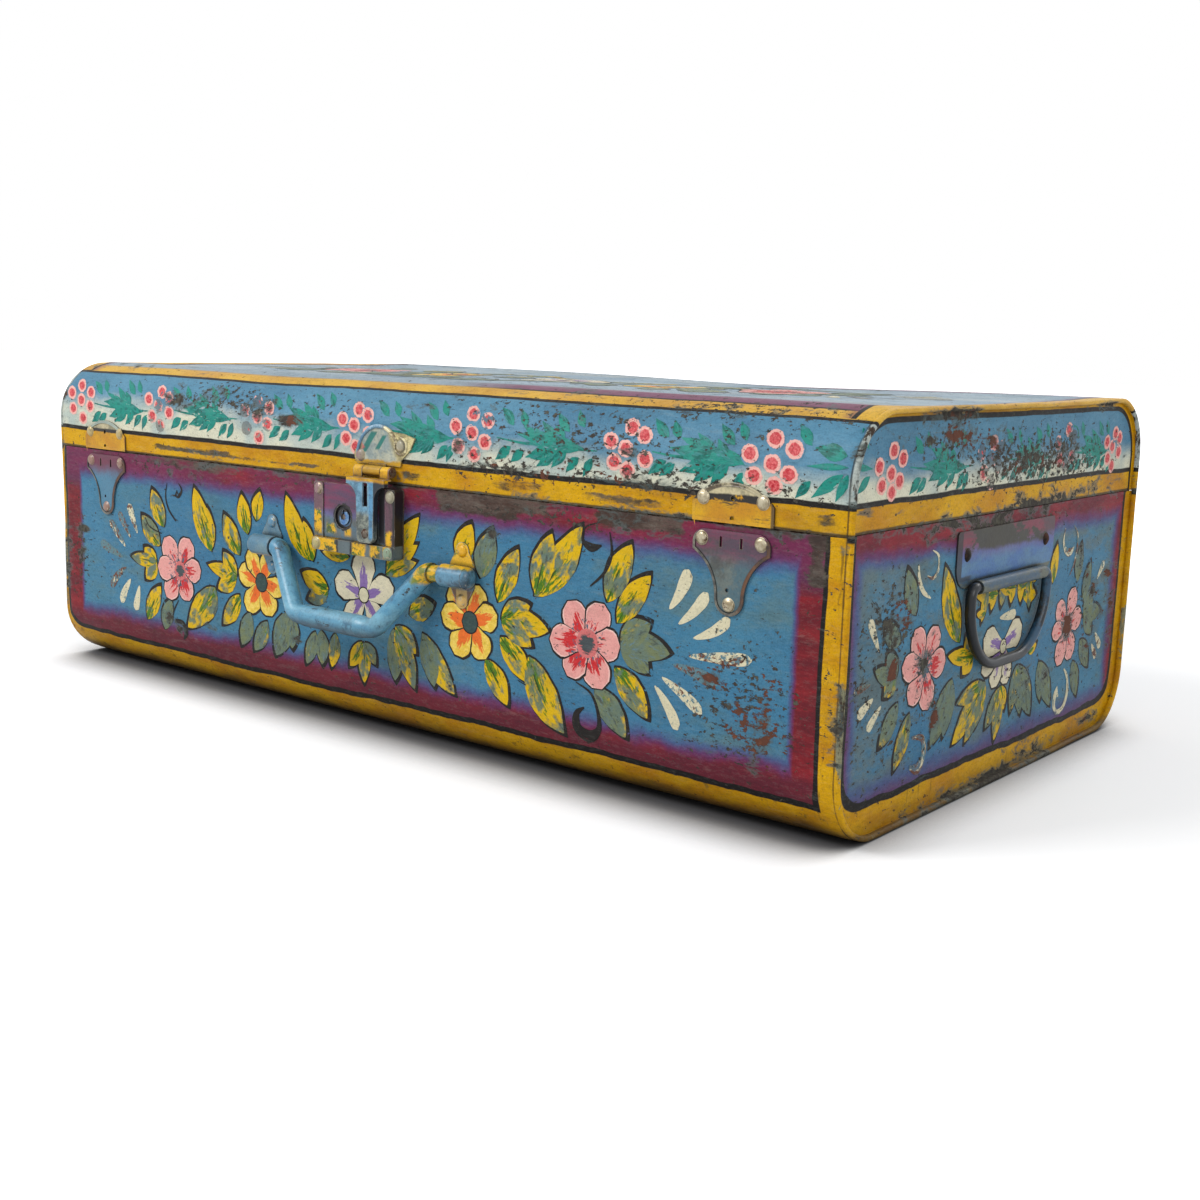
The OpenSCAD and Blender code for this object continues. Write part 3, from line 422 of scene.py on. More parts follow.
def lid_field(f, end):
    """The lid's colours: pale blue field, cream below it, black line and yellow foot.

    Also gives the hand's wobble and the yellow, for the band above.
    """
    x, y, z = f.axes()
    wob = f.wobble(1.1, 10) + f.wobble(0.4, 60)
    lift = z + wob
    cloud = f.sway(26, 19, 5, 0.65, (1, 1, 2.2))
    blue = f.mottled(srgb(88, 138, 164), srgb(72, 120, 148), 0.35, 0.7, 9, 4, 0.6)
    cream = f.mottled(srgb(212, 210, 186), srgb(176, 188, 180), 0.4, 0.7, 30, 3)
    if not end:
        cloud = cloud + f.step(x, 60, -260) * -9
    colour = f.mix(f.step(z + cloud, 220, 200), blue, cream)
    black = f.math("MINIMUM", f.step(lift, 194.6, 195.2), f.step(lift, 198.6, 197.8))
    gold = f.mottled(YELLOW, YELLOW_DEEP, 0.38, 0.66, 19, 4, 0.6, (1, 1, 2))
    colour = f.mix(f.step(lift, 195.6, 195), colour, gold)
    colour = f.mix(black, colour, BLACK)
    shade = f.step(z + f.noise(30, 3, 0.6) * 2, 183.6, 182.4)
    colour = f.mix(shade, colour, srgb(44, 38, 26), 0.9)
    if not end:
        colour = scraped_strip(f, colour, LID_SCRAPED)
        colour = worn_bead(f, colour, 199, 242, 0.26, srgb(168, 176, 170))
    return colour, wob, gold


def enamel(f, colour):
    """Wear and gloss of the sheets' paint."""
    colour, roughness, height = worn(f, colour, f.worth("wear"))
    return f.finish(colour, roughness, height, 0.00035)


def body_paint(name, end=False):
    f = Finish(name)
    return enamel(f, body_field(f, end))


def lid_paint(name, end=False):
    f = Finish(name)
    x, y, z = f.axes()
    colour, wob, gold = lid_field(f, end)
    if end:
        # Black line and yellow edge along the top, following the bend
        py = f.high(abs(y) - FOLD_Y, 0)
        pz = f.high(z - FOLD_Z, 0)
        outwards = f.reach(py, pz) + wob * 0.6
        colour = f.mix(f.step(outwards, 35.4, 36), colour, BLACK)
        colour = f.mix(f.step(outwards, 38.8, 39.4), colour, gold)
    else:
        # Yellow band over the bend, and the pale top behind it
        sweep = f.math("ARCTAN2", z - FOLD_Z, abs(y) - FOLD_Y) * FOLD + wob
        flat = (abs(y) - FOLD_Y) * -1 + 70.7
        on_top = f.step(abs(y), 171.5, 170.5)
        along = sweep * (1 - on_top) + flat * on_top
        faded = f.mix(0.22, gold, srgb(235, 205, 130))
        colour = f.mix(f.step(along, 42.8, 43.4), colour, BLACK)
        colour = f.mix(f.step(along, 45.6, 46.2), colour, faded)
        right_part = f.step(x + f.sway(160, 9, 4, 0.7), 20, 110)
        colour = f.mix(
            f.step(along, 55.4, 56.1) * (right_part * 0.6 + 0.4), colour,
            f.mix(right_part, srgb(120, 124, 118), BLACK)
        )
        plum = f.mix(f.noise(14, 4), srgb(128, 84, 112), srgb(104, 44, 62))
        colour = f.mix(f.step(along, 57.4, 58.2), colour, f.mix(right_part, srgb(142, 158, 168), plum))
        colour = f.mix(f.step(along + f.sway(18, 24, 4), 68, 90), colour, pale_top(f))
        x_edge = abs(x) + wob * 0.8
        high_up = f.step(along, 46, 47)
        colour = f.mix(f.step(x_edge, 352, 366) * (high_up * 0.8), colour, plum)
        colour = f.mix(f.step(x_edge, 362.5, 363.2) * high_up, colour, BLACK)
        colour = f.mix(f.step(x_edge, 366, 366.8) * high_up, colour, faded)
    return enamel(f, colour)


def bare_steel(name, tone, rough, rust):
    """Plain steel with brown spots."""
    f = Finish(name)
    mottled = f.noise(170, 5, 0.65)
    brown = f.step(mottled + rust * 0.4, 0.58, 0.74)
    colour = f.mottled(tone, tuple(c * 0.72 for c in tone[:3]) + (1,), 0.35, 0.75, 520, 3)
    colour = f.mix(brown, colour, f.mix(f.noise(90, 3), DARK_METAL, RUST))
    roughness = brown * 0.38 + (f.noise(300, 3) * 0.16 + (rough - 0.05))
    metallic = 1 - brown * 0.85
    height = f.noise(800, 3) * 0.4 + brown * 0.4
    return f.finish(colour, roughness, height, 0.00012, metallic)


# Making the sheets
def add_shape(add, name, **how):
    """Adds a simple shape with one of Blender's own commands, and names it."""
    bpy.ops.object.select_all(action="DESELECT")
    add(**how)
    bpy.context.object.name = name
    return bpy.context.object


def mode(word):
    bpy.ops.object.mode_set(mode=word)


def only(*objects):
    bpy.ops.object.select_all(action="DESELECT")
    for o in objects:
        o.select_set(True)
    bpy.context.view_layer.objects.active = objects[0]


def pick(obj, kind, test):
    """Selects in edit mode the verts, edges or faces that pass the test."""
    bpy.ops.mesh.select_mode(type={"verts": "VERT", "edges": "EDGE", "faces": "FACE"}[kind])
    bpy.ops.mesh.select_all(action="DESELECT")
    b = bmesh.from_edit_mesh(obj.data)
    for item in getattr(b, kind):
        if test(item):
            item.select_set(True)
    b.select_flush_mode()
    bmesh.update_edit_mesh(obj.data)


def cut_at(point, normal, clear_inner=False, clear_outer=False):
    bpy.ops.mesh.select_all(action="SELECT")
    bpy.ops.mesh.bisect(
        plane_co=point, plane_no=normal, clear_inner=clear_inner, clear_outer=clear_outer, threshold=0.000001
    )


def face_outwards():
    bpy.ops.mesh.select_all(action="SELECT")
    bpy.ops.mesh.normals_make_consistent(inside=False)


def thicken(sheet):
    """Gives the sheet its thickness, inwards, and smooths its bends."""
    solid = sheet.modifiers.new("thickness", "SOLIDIFY")
    solid.thickness = SHEET
    solid.offset = -1
    bpy.ops.object.modifier_apply(modifier="thickness")
    bpy.ops.object.shade_smooth_by_angle(angle=math.radians(50))


def cut_mouth(lid):
    """Leaves the lid or the body of a whole trunk's shape."""
    cut_at((0, 0, LID_FOOT if lid else BODY_TOP), (0, 0, 1), clear_inner=lid, clear_outer=not lid)


def runs(e, axis, more):
    return abs(e.verts[0].co[axis] - e.verts[1].co[axis]) > more


def outward(y, z):
    """The direction out of the trunk's cross section, at a point on it."""
    v = Vector((0, y - max(-BEND_Y, min(BEND_Y, y)), z - max(BEND, min(BEND_Z, z))))
    return v.normalized() if v.length > 1e-6 else Vector((0, 0, 1))


# The sheet is flat under the fittings of the front: low and high x, low and high z
HARDWARE = (
    (-0.053, 0.043, 0.124, 0.222),
    (-0.346, -0.280, 0.124, 0.210),
    (0.270, 0.336, 0.124, 0.210),
    (-0.116, -0.088, 0.100, 0.152),
    (0.078, 0.106, 0.100, 0.152),
)


def apart(v, low, high):
    return max(low - v, v - high, 0)


def dent(p):
    """How far the beaten sheet lies inside its true surface at p."""
    slow = 0.5 + noise.noise(p * 8.5 + Vector((3.1, 7.7, 1.3)))
    quick = noise.noise(p * 23)
    depth, least, on_end = 0.0008, 0, abs(p.x) > END_FROM
    if on_end:
        near = math.hypot(apart(p.y, -0.085, 0.075), apart(p.z, 0.125, 0.178))
        free = min(1, near / 0.02)
    elif p.z > 0.2495:
        depth, free, least = 0.0022, min(1, (BEND_Y - abs(p.y)) / 0.05), 0.0004
    elif p.z < 0.0005:
        return 0
    else:
        if p.y < 0:
            near = min(math.hypot(apart(p.x, a, b), apart(p.z, c, d)) for a, b, c, d in HARDWARE)
        else:
            near = math.hypot(apart(abs(p.x), 0.19, 0.27), apart(p.z, 0.140, 0.210))
        free = min(1, near / 0.025) * min(1, p.z / 0.03)
    free *= min(1, max(0, CREASE_X - abs(p.x)) / 0.012 + (1 if on_end else 0))
    sunk = 0
    if p.y > 0.02 and p.z > 0.212 and abs(p.x) < CREASE_X:
        across, up = min(1, (p.y - 0.02) / 0.12), min(1, (p.z - 0.212) / 0.03)
        sunk = 0.0034 * math.exp(-((p.x - 0.09) / 0.15) ** 2) * across * across * (3 - 2 * across) * up
    return (least + depth * max(0, slow + 0.25 * quick)) * max(0, free) + sunk


# Places that are worn more: face, across, up, how wide, how high, how much
WORN_SPOTS = {
    "front": (
        (115, 171, 45, 7, 0.25), (-60, 176, 26, 4, 0.4), (-225, 170, 60, 6, 0.40), (-150, 178, 60, 4, 0.5),
        (225, 172, 34, 6, 0.45), (300, 177, 80, 3, 0.4), (327, 54, 6, 17, 0.62), (331, 70, 5, 12, 0.5),
        (321, 42, 8, 5, 0.45), (292, 48, 8, 3.5, 0.75), (291, 89, 8, 4.5, 0.75), (-352, 95, 6, 30, 0.8),
        (-345, 112, 5, 5, 0.6),
        (-372, 88, 8, 24, 0.6), (-383, 100, 6, 26, 0.6), (-232, 52, 8, 9, 0.85), (-216, 45, 7, 6, 0.85),
        (-180, 52, 14, 3, 0.55), (-78, 58, 9, 5, 0.5), (80, 48, 6, 8, 0.6), (118, 155, 8, 6, 0.75),
        (75, 148, 9, 6, 0.5), (250, 33, 5, 3, 0.6), (320, 95, 22, 16, 0.28), (-60, 108, 14, 12, 0.2),
        (366.8, 82, 2, 8, 0.85), (370, 57, 1.8, 7, 0.65), (373, 60, 2.2, 40, 0.22), (33, 178, 5, 3, 1),
    ),
    "lid_front": (
        (120, 183, 60, 2.6, 0.6), (240, 183, 50, 2.6, 0.65), (125, 199, 46, 3, 0.45), (225, 198, 70, 3, 0.45),
        (-120, 222, 34, 12, 0.50), (-185, 230, 40, 10, 0.42), (-85, 217, 16, 4, 0.9), (-228, 226, 20, 9, 0.50),
        (85, 210, 8, 9, 0.7), (150, 236, 50, 6, 0.26), (190, 222, 60, 22, 0.16), (290, 243, 60, 3, 0.50),
        (-170, 188, 70, 3, 0.65), (42, 234, 14, 3, 0.6), (95, 236, 18, 3, 0.5), (225, 214, 14, 12, 0.3),
        (34, 187, 4, 6, 1.1), (-20, 184, 70, 2, 0.5),
    ),
    "end": (
        (-158, 126, 20, 18, 0.36), (-152, 97, 8, 8, 0.75), (-94, 62, 8, 9, 0.75), (-112, 96, 9, 6, 0.5),
        (110, 92, 10, 9, 1), (153, 112, 7, 9, 0.75), (150, 68, 9, 6, 0.5), (125, 50, 7, 9, 0.45),
        (125, 138, 5, 10, 0.6), (140, 122, 5, 8, 0.55), (188, 112, 14, 30, 0.34), (194, 75, 10, 26, 0.30),
        (75, 60, 8, 8, 0.5), (-55, 168, 60, 5, 0.55), (0, 175, 70, 4, 0.7), (-100, 177, 60, 3, 0.7),
        (0, 2, 120, 4, 0.7), (-217, 80, 4, 30, 0.5), (170, 12, 30, 6, 0.5), (0, 136, 60, 3, 0.35),
        (172, 92, 10, 5, 0.55), (40, 58, 12, 12, 0.3), (60, 12, 40, 3, 0.45), (-60, 8, 40, 3, 0.5),
    ),
    "lid_end": (
        (-120, 232, 40, 8, 0.28), (-60, 230, 50, 9, 0.30), (20, 214, 60, 14, 0.26), (75, 208, 34, 12, 0.30),
        (-90, 246, 32, 2.2, 0.85), (60, 184, 60, 3, 0.6), (-110, 184, 50, 2.5, 0.55), (90, 222, 30, 10, 0.22),
        (140, 188, 40, 3, 0.45), (-40, 225, 20, 8, 0.2), (-210, 220, 5, 24, 0.5), (150, 246, 30, 3, 0.5),
        (30, 182, 90, 2, 0.7),
        (-75, 232, 12, 3, 0.25), (-40, 228, 10, 3, 0.2), (30, 190, 70, 2, 0.35),
    ),
}


def spots_at(p, spots):
    """The share of each of a face's spots at p."""
    z = p.z / MM
    if abs(p.x) > END_FROM:
        across, face = p.y / MM, "lid_end" if p.z > LID_FROM else "end"
    else:
        across, face = p.x / MM, "lid_front" if p.z > LID_FROM else "front"
    return [much * math.exp(-((across - a) / w) ** 2 - ((z - u) / h) ** 2) for a, u, w, h, much in spots[face]]


def wear_at(p):
    """How worn the paint is at p, from 0 to about 1."""
    x, z = p.x / MM, p.z / MM
    on_end = abs(p.x) > END_FROM
    level = 0.10
    if on_end or p.y < -FRONT_FROM:
        for much in spots_at(p, WORN_SPOTS):
            level += much
        level += 0.14 if on_end else 0
    elif p.y > FRONT_FROM:
        level += 0.12 + 0.25 * max(0, noise.noise(p * 6))
    if not on_end and z > 244:
        level += 0.16 + 0.3 * max(0, noise.noise(p * 7))
    edge = min(abs(z - 180), 380 - abs(x) if not on_end else 99)
    level += 0.22 * math.exp(-(edge / 2.2) ** 2)
    return min(1.3, level)


# Places with more dark specks, and with rust in place of dark metal, in the same way
SPECK_SPOTS = {
    "front": (
        (315, 75, 42, 40, 0.9), (300, 175, 90, 6, 0.5), (150, 170, 90, 8, 0.7), (-60, 172, 100, 8, 0.4),
        (-250, 172, 70, 8, 0.6), (-355, 90, 16, 40, 0.8), (372, 100, 6, 90, 0.5)
    ),
    "lid_front": (
        (190, 222, 110, 20, 0.75), (250, 200, 130, 8, 1), (130, 198, 60, 8, 0.9), (-160, 228, 70, 14, 0.8),
        (-60, 230, 60, 10, 0.5), (300, 243, 120, 8, 0.7), (170, 237, 130, 7, 0.55), (300, 231, 50, 9, 0.5)
    ),
    "end": (
        (-155, 125, 34, 30, 1), (-140, 60, 70, 60, 0.5), (0, 170, 160, 8, 0.6), (130, 90, 60, 60, 0.5),
        (-190, 90, 20, 60, 0.7), (30, 60, 60, 40, 0.4)
    ),
    "lid_end": (
        (20, 212, 110, 20, 1.15), (-90, 225, 60, 14, 0.9), (100, 205, 60, 14, 1), (-60, 200, 90, 8, 0.7)
    ),
}
RUST_SPOTS = {
    "front": (
        (325, 60, 26, 30, 1), (290, 90, 16, 8, 1), (290, 48, 12, 8, 0.7), (300, 101, 12, 5, 1),
        (-320, 96, 14, 6, 0.8), (-225, 180, 50, 3, 0.8), (-352, 90, 8, 30, 0.3)
    ),
    "lid_front": (
        (-85, 217, 24, 7, 0.8), (130, 190, 30, 8, 0.8), (200, 200, 60, 8, 0.6), (130, 232, 60, 8, 0.5)
    ),
    "end": (
        (110, 93, 26, 20, 1), (158, 95, 26, 22, 1), (190, 95, 24, 50, 1), (-152, 100, 18, 14, 1),
        (-92, 60, 16, 16, 0.9), (140, 130, 12, 20, 0.8), (150, 70, 16, 14, 0.9), (-140, 135, 16, 14, 0.7),
        (78, 58, 14, 14, 0.8)
    ),
    "lid_end": ((-75, 230, 36, 8, 1), (0, 206, 30, 5, 0.8), (80, 206, 30, 10, 0.6)),
}


def specks_at(p):
    """How many dark specks the paint has at p."""
    if abs(p.x) <= END_FROM and p.y > -FRONT_FROM:
        return 0.12 + 0.5 * max(0, 0.4 + noise.noise(p * 5))
    return max(0.12, *spots_at(p, SPECK_SPOTS))


def rust_at(p):
    if abs(p.x) <= END_FROM and p.y > -FRONT_FROM:
        return 0.3
    return max(0, *spots_at(p, RUST_SPOTS))


AGES = (("specks", specks_at), ("rust", rust_at), ("wear", wear_at))


def set_wear(mesh):
    """Fills in how worn, specked and rusty the paint is at each point."""
    for name, at in AGES:
        if name not in mesh.attributes:
            mesh.attributes.new(name, "FLOAT", "POINT")
        mesh.attributes[name].data.foreach_set("value", [at(v.co) for v in mesh.vertices])


# Cross path of the rolled edge beyond the crease: along x, and out of the surface
BEAD = (
    (0.0004, -0.00028), (0.0006, 0.00018), (0.0008, 0.00008), (0.0009, -0.00014),
    (0.00060, -0.0008), (0.00030, -0.0010), (-0.0005, -0.0009), (-0.0012, -0.0006), (-0.0016, -0.0001),
)


def wrap_sheet(name, lid):
    """One sheet round front, back and bottom or top, with a rolled edge at each end."""
    low, high = (LID_FOOT, HEIGHT) if lid else (0, BODY_TOP)
    sheet = add_shape(
        bpy.ops.mesh.primitive_cube_add, name, size=1, location=(0, 0, HEIGHT / 2),
        scale=(2 * CREASE_X, DEPTH, HEIGHT)
    )
    bpy.ops.object.transform_apply(location=True, rotation=True, scale=True)
    mode("EDIT")
    pick(sheet, "edges", lambda e: runs(e, 0, 0.1))
    bpy.ops.mesh.bevel(offset=BEND, segments=15, profile=0.5, affect="EDGES")
    pick(sheet, "faces", lambda g: abs(g.normal.x) > 0.9)
    bpy.ops.mesh.delete(type="FACE")
    cut_mouth(lid)
    pick(sheet, "edges", lambda e: runs(e, 0, 0.1))
    bpy.ops.mesh.subdivide(number_cuts=99)
    pick(sheet, "edges", lambda e: runs(e, 1, 0.1))
    bpy.ops.mesh.subdivide(number_cuts=55)
    pick(sheet, "edges", lambda e: runs(e, 2, 0.02 if lid else 0.1))
    bpy.ops.mesh.subdivide(number_cuts=3 if lid else 21)
    for side in (-1, 1):
        x = side * CREASE_X
        pick(sheet, "edges", lambda e: all(abs(v.co.x - x) < 1e-5 for v in e.verts))
        for dx, dn in BEAD:
            bpy.ops.mesh.extrude_edges_move()
            b = bmesh.from_edit_mesh(sheet.data)
            for v in b.verts:
                if v.select:
                    v.co += Vector((side * dx, 0, 0)) + outward(v.co.y, v.co.z) * dn
            bmesh.update_edit_mesh(sheet.data)
    mode("OBJECT")
    for v in sheet.data.vertices:
        rest = v.co.copy()
        v.co -= outward(rest.y, rest.z) * dent(rest)
        if abs(rest.x) > 0.3768:
            v.co -= outward(rest.y, rest.z) * 0.0006 * max(0, noise.noise(rest * 45) - 0.05)
        if abs(rest.z - (low if lid else high)) < 1e-5:
            inner = min(1, max(0, 0.3755 - abs(rest.x)) / 0.02)
            ragged = (1 if lid else -1) * 0.0003 * (1 + noise.noise(rest * 14)) * inner
            v.co.z += ragged - (0.0003 if lid else 0) * (1 - inner)
    only(sheet)
    mode("EDIT")
    face_outwards()
    mode("OBJECT")
    thicken(sheet)
    return sheet


def end_sheet(name, side, lid):
    """Flat end with its flange, set back inside the rolled edge."""
    y0, z1 = DEPTH / 2 - PANEL_INSET, HEIGHT - PANEL_INSET
    panel = add_shape(bpy.ops.mesh.primitive_plane_add, name, size=1, location=(0, 0, 0))
    for v in panel.data.vertices:
        v.co = Vector((side * PANEL_X, v.co.x * 2 * y0, HEIGHT / 2 + v.co.y * 2 * (z1 - HEIGHT / 2)))
    mode("EDIT")
    bpy.ops.mesh.select_all(action="SELECT")
    bpy.ops.mesh.bevel(offset=BEND - PANEL_INSET, segments=15, profile=0.5, affect="VERTICES")
    cut_mouth(lid)
    low, high = (LID_FOOT, z1) if lid else (PANEL_INSET, BODY_TOP)
    columns, rows = 54, 9 if lid else 22
    for i in range(1, columns):
        cut_at((0, -y0 + 2 * y0 * i / columns, 0), (0, 1, 0))
    for i in range(1, rows):
        cut_at((0, 0, low + (high - low) * i / rows), (0, 0, 1))
    mouth = LID_FOOT if lid else BODY_TOP
    pick(panel, "edges", lambda e: e.is_boundary and not all(abs(v.co.z - mouth) < 1e-5 for v in e.verts))
    for dx in (0.0006, 0.0016):
        bpy.ops.mesh.extrude_edges_move(TRANSFORM_OT_translate={"value": (side * dx, 0, 0)})
    mode("OBJECT")
    for v in panel.data.vertices:
        if abs(abs(v.co.x) - PANEL_X) < 1e-6:
            near = min(1, max(0, y0 - abs(v.co.y), 0) / 0.02)
            v.co.x -= side * dent(v.co) * near
    only(panel)
    mode("EDIT")
    face_outwards()
    b = bmesh.from_edit_mesh(panel.data)
    if sum(g.normal.x * side for g in b.faces if abs(g.normal.x) > 0.9) < 0:
        bpy.ops.mesh.flip_normals()
    mode("OBJECT")
    thicken(panel)
    return panel


def dress(obj, material, body, slot_name, *nodes):
    """Gives a piece its finish and body, and says which nodes it stands for; slot_name is not used."""
    obj.data.materials.clear()
    obj.data.materials.append(material)
    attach(obj, body)
    if nodes:
        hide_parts(*nodes)


def inside_wash():
    """Thin grey wash inside the sheets, over tinned metal that browns, most near the floor."""
    f = Finish("inside wash")
    x, y, z = f.axes()
    colour = f.mottled(srgb(114, 126, 126), srgb(90, 104, 108), 0.35, 0.65, 9, 5, 0.65)
    colour = f.mix(f.step(f.noise(34, 6, 0.75, (0.5, 0.5, 2.4)), 0.48, 0.66), colour, srgb(138, 138, 124), 0.6)
    bloom = f.noise(15, 6, 0.76) + f.step(z, 40, 4) * 0.06
    brown = f.mottled(srgb(104, 74, 52), srgb(74, 58, 46), 0.4, 0.6, 110, 4)
    colour = f.mix(f.step(bloom, 0.53, 0.66), colour, brown, 0.75)
    colour, roughness, height = worn(f, colour, f.worth("wear") + 0.1, 0.52)
    return f.finish(colour, roughness, height, 0.0003)


INSIDE = inside_wash()


def paint_sheet(sheet, material, body, slot_name, node, faces_in):
    """Paints a sheet, and gives the faces that look into the trunk their own wash."""
    set_wear(sheet.data)
    dress(sheet, material, body, slot_name, node)
    sheet.data.materials.append(INSIDE)
    for g in sheet.data.polygons:
        if faces_in(g.center, g.normal):
            g.material_index = 1


def faces_middle(c, n):
    return abs(c.x) < 0.3748 and outward(c.y, c.z).dot(n) < -0.4


BODY_WRAP = body_paint("body sheet enamel")
BODY_END = body_paint("body end enamel", end=True)
LID_WRAP = lid_paint("lid sheet enamel")
LID_END = lid_paint("lid end enamel", end=True)

SHEETS = (("body", False, BODY_WRAP, BODY_END, "trunk_paint"), ("lid", True, LID_WRAP, LID_END, "lid_paint"))
for body, lid, finish, end_finish, slot_name in SHEETS:
    sheet = wrap_sheet(body + "_sheet", lid)
    paint_sheet(sheet, finish, body, slot_name, body + "_wrap", faces_middle)
for word, side in (("left", -1), ("right", 1)):
    for body, lid, finish, end_finish, slot_name in SHEETS:
        panel = end_sheet(body + "_panel_" + word, side, lid)
        paint_sheet(panel, end_finish, body, slot_name, body + "_end_" + word, lambda c, n: n.x * side < -0.4)


# Painted marks: each is a thin sheet of paint that follows the beaten surface
def front_skin(a, b, h):
    """A place on the front, a along and b up in mm as drawn, h mm off the sheet."""
    if b > FOLD_Z:
        a -= 0.0126 * (b - FOLD_Z) ** 2 * (1 - 0.00127 * a)
    y = -FOLD_Y - FOLD
    if b < FOLD:
        y = -FOLD_Y - math.sqrt(FOLD ** 2 - (FOLD - b) ** 2)
    elif b > FOLD_Z:
        y = -FOLD_Y - math.sqrt(max(0, FOLD ** 2 - (b - FOLD_Z) ** 2))
    p = Vector((a, y, b)) * MM
    return p + outward(p.y, p.z) * (h * MM - dent(p))


def end_skin(side):
    """Places on the right end for side 1, and mirrored on the left end for side -1."""
    def skin(a, b, h):
        p = Vector((side * 375.4, side * a, b)) * MM
        near = min(1, max(0, 0.2124 - abs(p.y)) / 0.02)
        return p + Vector((side * (h * MM - dent(p) * near), 0, 0))
    return skin


def top_skin(a, b, h):
    """A place on the lid's top, in the same way."""
    p = Vector((a, b, 250)) * MM
    return p + Vector((0, 0, h * MM - dent(p)))


def blank_mark(name, along, across):
    """A flat sheet of paint, modelled once and copied for each mark of its kind."""
    sheet = add_shape(
        bpy.ops.mesh.primitive_grid_add, name, x_subdivisions=along, y_subdivisions=across, size=1
    )
    for kind in ("shape", "brush"):
        sheet.data.attributes.new(kind, "FLOAT_VECTOR", "POINT")
    return sheet


BLANKS = {
    "leaf": blank_mark("leaf_mark", 14, 5),
    "petal": blank_mark("petal_mark", 10, 7),
    "disc": blank_mark("disc_mark", 8, 8),
    "dab": blank_mark("dab_mark", 8, 3),
    "line": blank_mark("line_mark", 26, 2),
}
MARKS = {}


def lay(kind, skin, place, height, paint, tone, seed, group):
    """Copies a blank mark, shapes it with place(u, s) and lays it on the surface."""
    sheet = bpy.data.objects.new("mark", BLANKS[kind].data.copy())
    scene.collection.objects.link(sheet)
    mesh = sheet.data
    shape, brush = [], []
    middle = place(0.5, 0)
    for v in mesh.vertices:
        u, s = v.co.x + 0.5, v.co.y * 2
        a, b = place(u, s)
        v.co = skin(a, b, height)
        shape += [u, s, tone]
        brush += [a - middle[0], b - middle[1], seed]
    if kind != "disc":
        start, end = place(0, 0), place(1, 0)
        length = math.hypot(end[0] - start[0], end[1] - start[1])
        brush = []
        for v, u, s in zip(mesh.vertices, shape[0::3], shape[1::3]):
            edge = place(u, s)
            mid = place(u, 0)
            off = math.copysign(math.hypot(edge[0] - mid[0], edge[1] - mid[1]), s)
            brush += [u * length, off, seed]
    mesh.attributes["shape"].data.foreach_set("vector", shape)
    mesh.attributes["brush"].data.foreach_set("vector", brush)
    set_wear(mesh)
    mesh.update()
    out = skin(middle[0], middle[1], 1) - skin(middle[0], middle[1], 0)
    if sum(g.normal.dot(out) for g in mesh.polygons) < 0:
        mesh.flip_normals()
    mesh.materials.append(paint)
    MARKS.setdefault(group, []).append(sheet)


# Half widths of the marks along their length, from 0 at the base to 1 at the tip
def leaf_width(u):
    return 0.035 + math.sin(math.pi * u ** 0.92) ** 0.8 if 0 < u < 1 else 0.035


def petal_width(u):
    if u > 0.60:
        return math.sqrt(max(0, 1 - ((u - 0.60) / 0.40) ** 2)) + 0.02
    return 0.16 + 0.86 * (u / 0.60) ** 0.85


def sprig_width(u):
    return 0.05 + math.sin(math.pi * u ** 0.80) ** 1.25 if 0 < u < 1 else 0.05


def dab_width(u):
    return 0.10 + 0.95 * u ** 0.62 * max(0, 1 - u ** 7) ** 0.5


def disc_width(u):
    return 0.02 + math.sqrt(max(0, 1 - (2 * u - 1) ** 2))


def straight(base, tip, half, width, bow=0, slide=0, seed=0, rough=0.02):
    """A mark between two points, half as wide as given, bowed to one side."""
    ax, ay = tip[0] - base[0], tip[1] - base[1]
    length = math.hypot(ax, ay)
    nx, ny = -ay / length, ax / length

    def place(u, s):
        ripple = 1 + rough * math.sin(u * 11 + seed * 5 + s) + rough * math.sin(u * 23 + seed * 3)
        off = s * half * width(u) * ripple + 4 * bow * u * (1 - u) + slide
        return base[0] + ax * u + nx * off, base[1] + ay * u + ny * off
    return place


def longer(base, tip, at_base, at_tip):
    """Both ends of a mark, moved apart."""
    length = math.hypot(tip[0] - base[0], tip[1] - base[1])
    dx, dy = (tip[0] - base[0]) / length, (tip[1] - base[1]) / length
    return (base[0] - dx * at_base, base[1] - dy * at_base), (tip[0] + dx * at_tip, tip[1] + dy * at_tip)


def curved(points, widths):
    """A brush line through points, with its half width at each of them."""
    def spot(t, values):
        n = len(values) - 1
        i = min(n - 1, int(t * n))
        f = t * n - i
        p0, p1, p2, p3 = values[max(0, i - 1)], values[i], values[i + 1], values[min(n, i + 2)]
        second = (2 * p0 - 5 * p1 + 4 * p2 - p3) * f ** 2
        return 0.5 * (2 * p1 + (p2 - p0) * f + second + (3 * p1 - p0 - 3 * p2 + p3) * f ** 3)
    xs, ys = [p[0] for p in points], [p[1] for p in points]

    def place(u, s):
        x, y = spot(u, xs), spot(u, ys)
        dx = spot(min(1, u + 0.02), xs) - spot(max(0, u - 0.02), xs)
        dy = spot(min(1, u + 0.02), ys) - spot(max(0, u - 0.02), ys)
        length = math.hypot(dx, dy) or 1
        w = max(0.12, spot(u, widths))
        return x - dy / length * w * s, y + dx / length * w * s
    return place


FIELDS = {
    "body": lambda f: body_field(f, False), "end": lambda f: body_field(f, True),
    "lid": lambda f: lid_field(f, False)[0], "lidend": lambda f: lid_field(f, True)[0], "top": pale_top,
}
PAINTS = {}


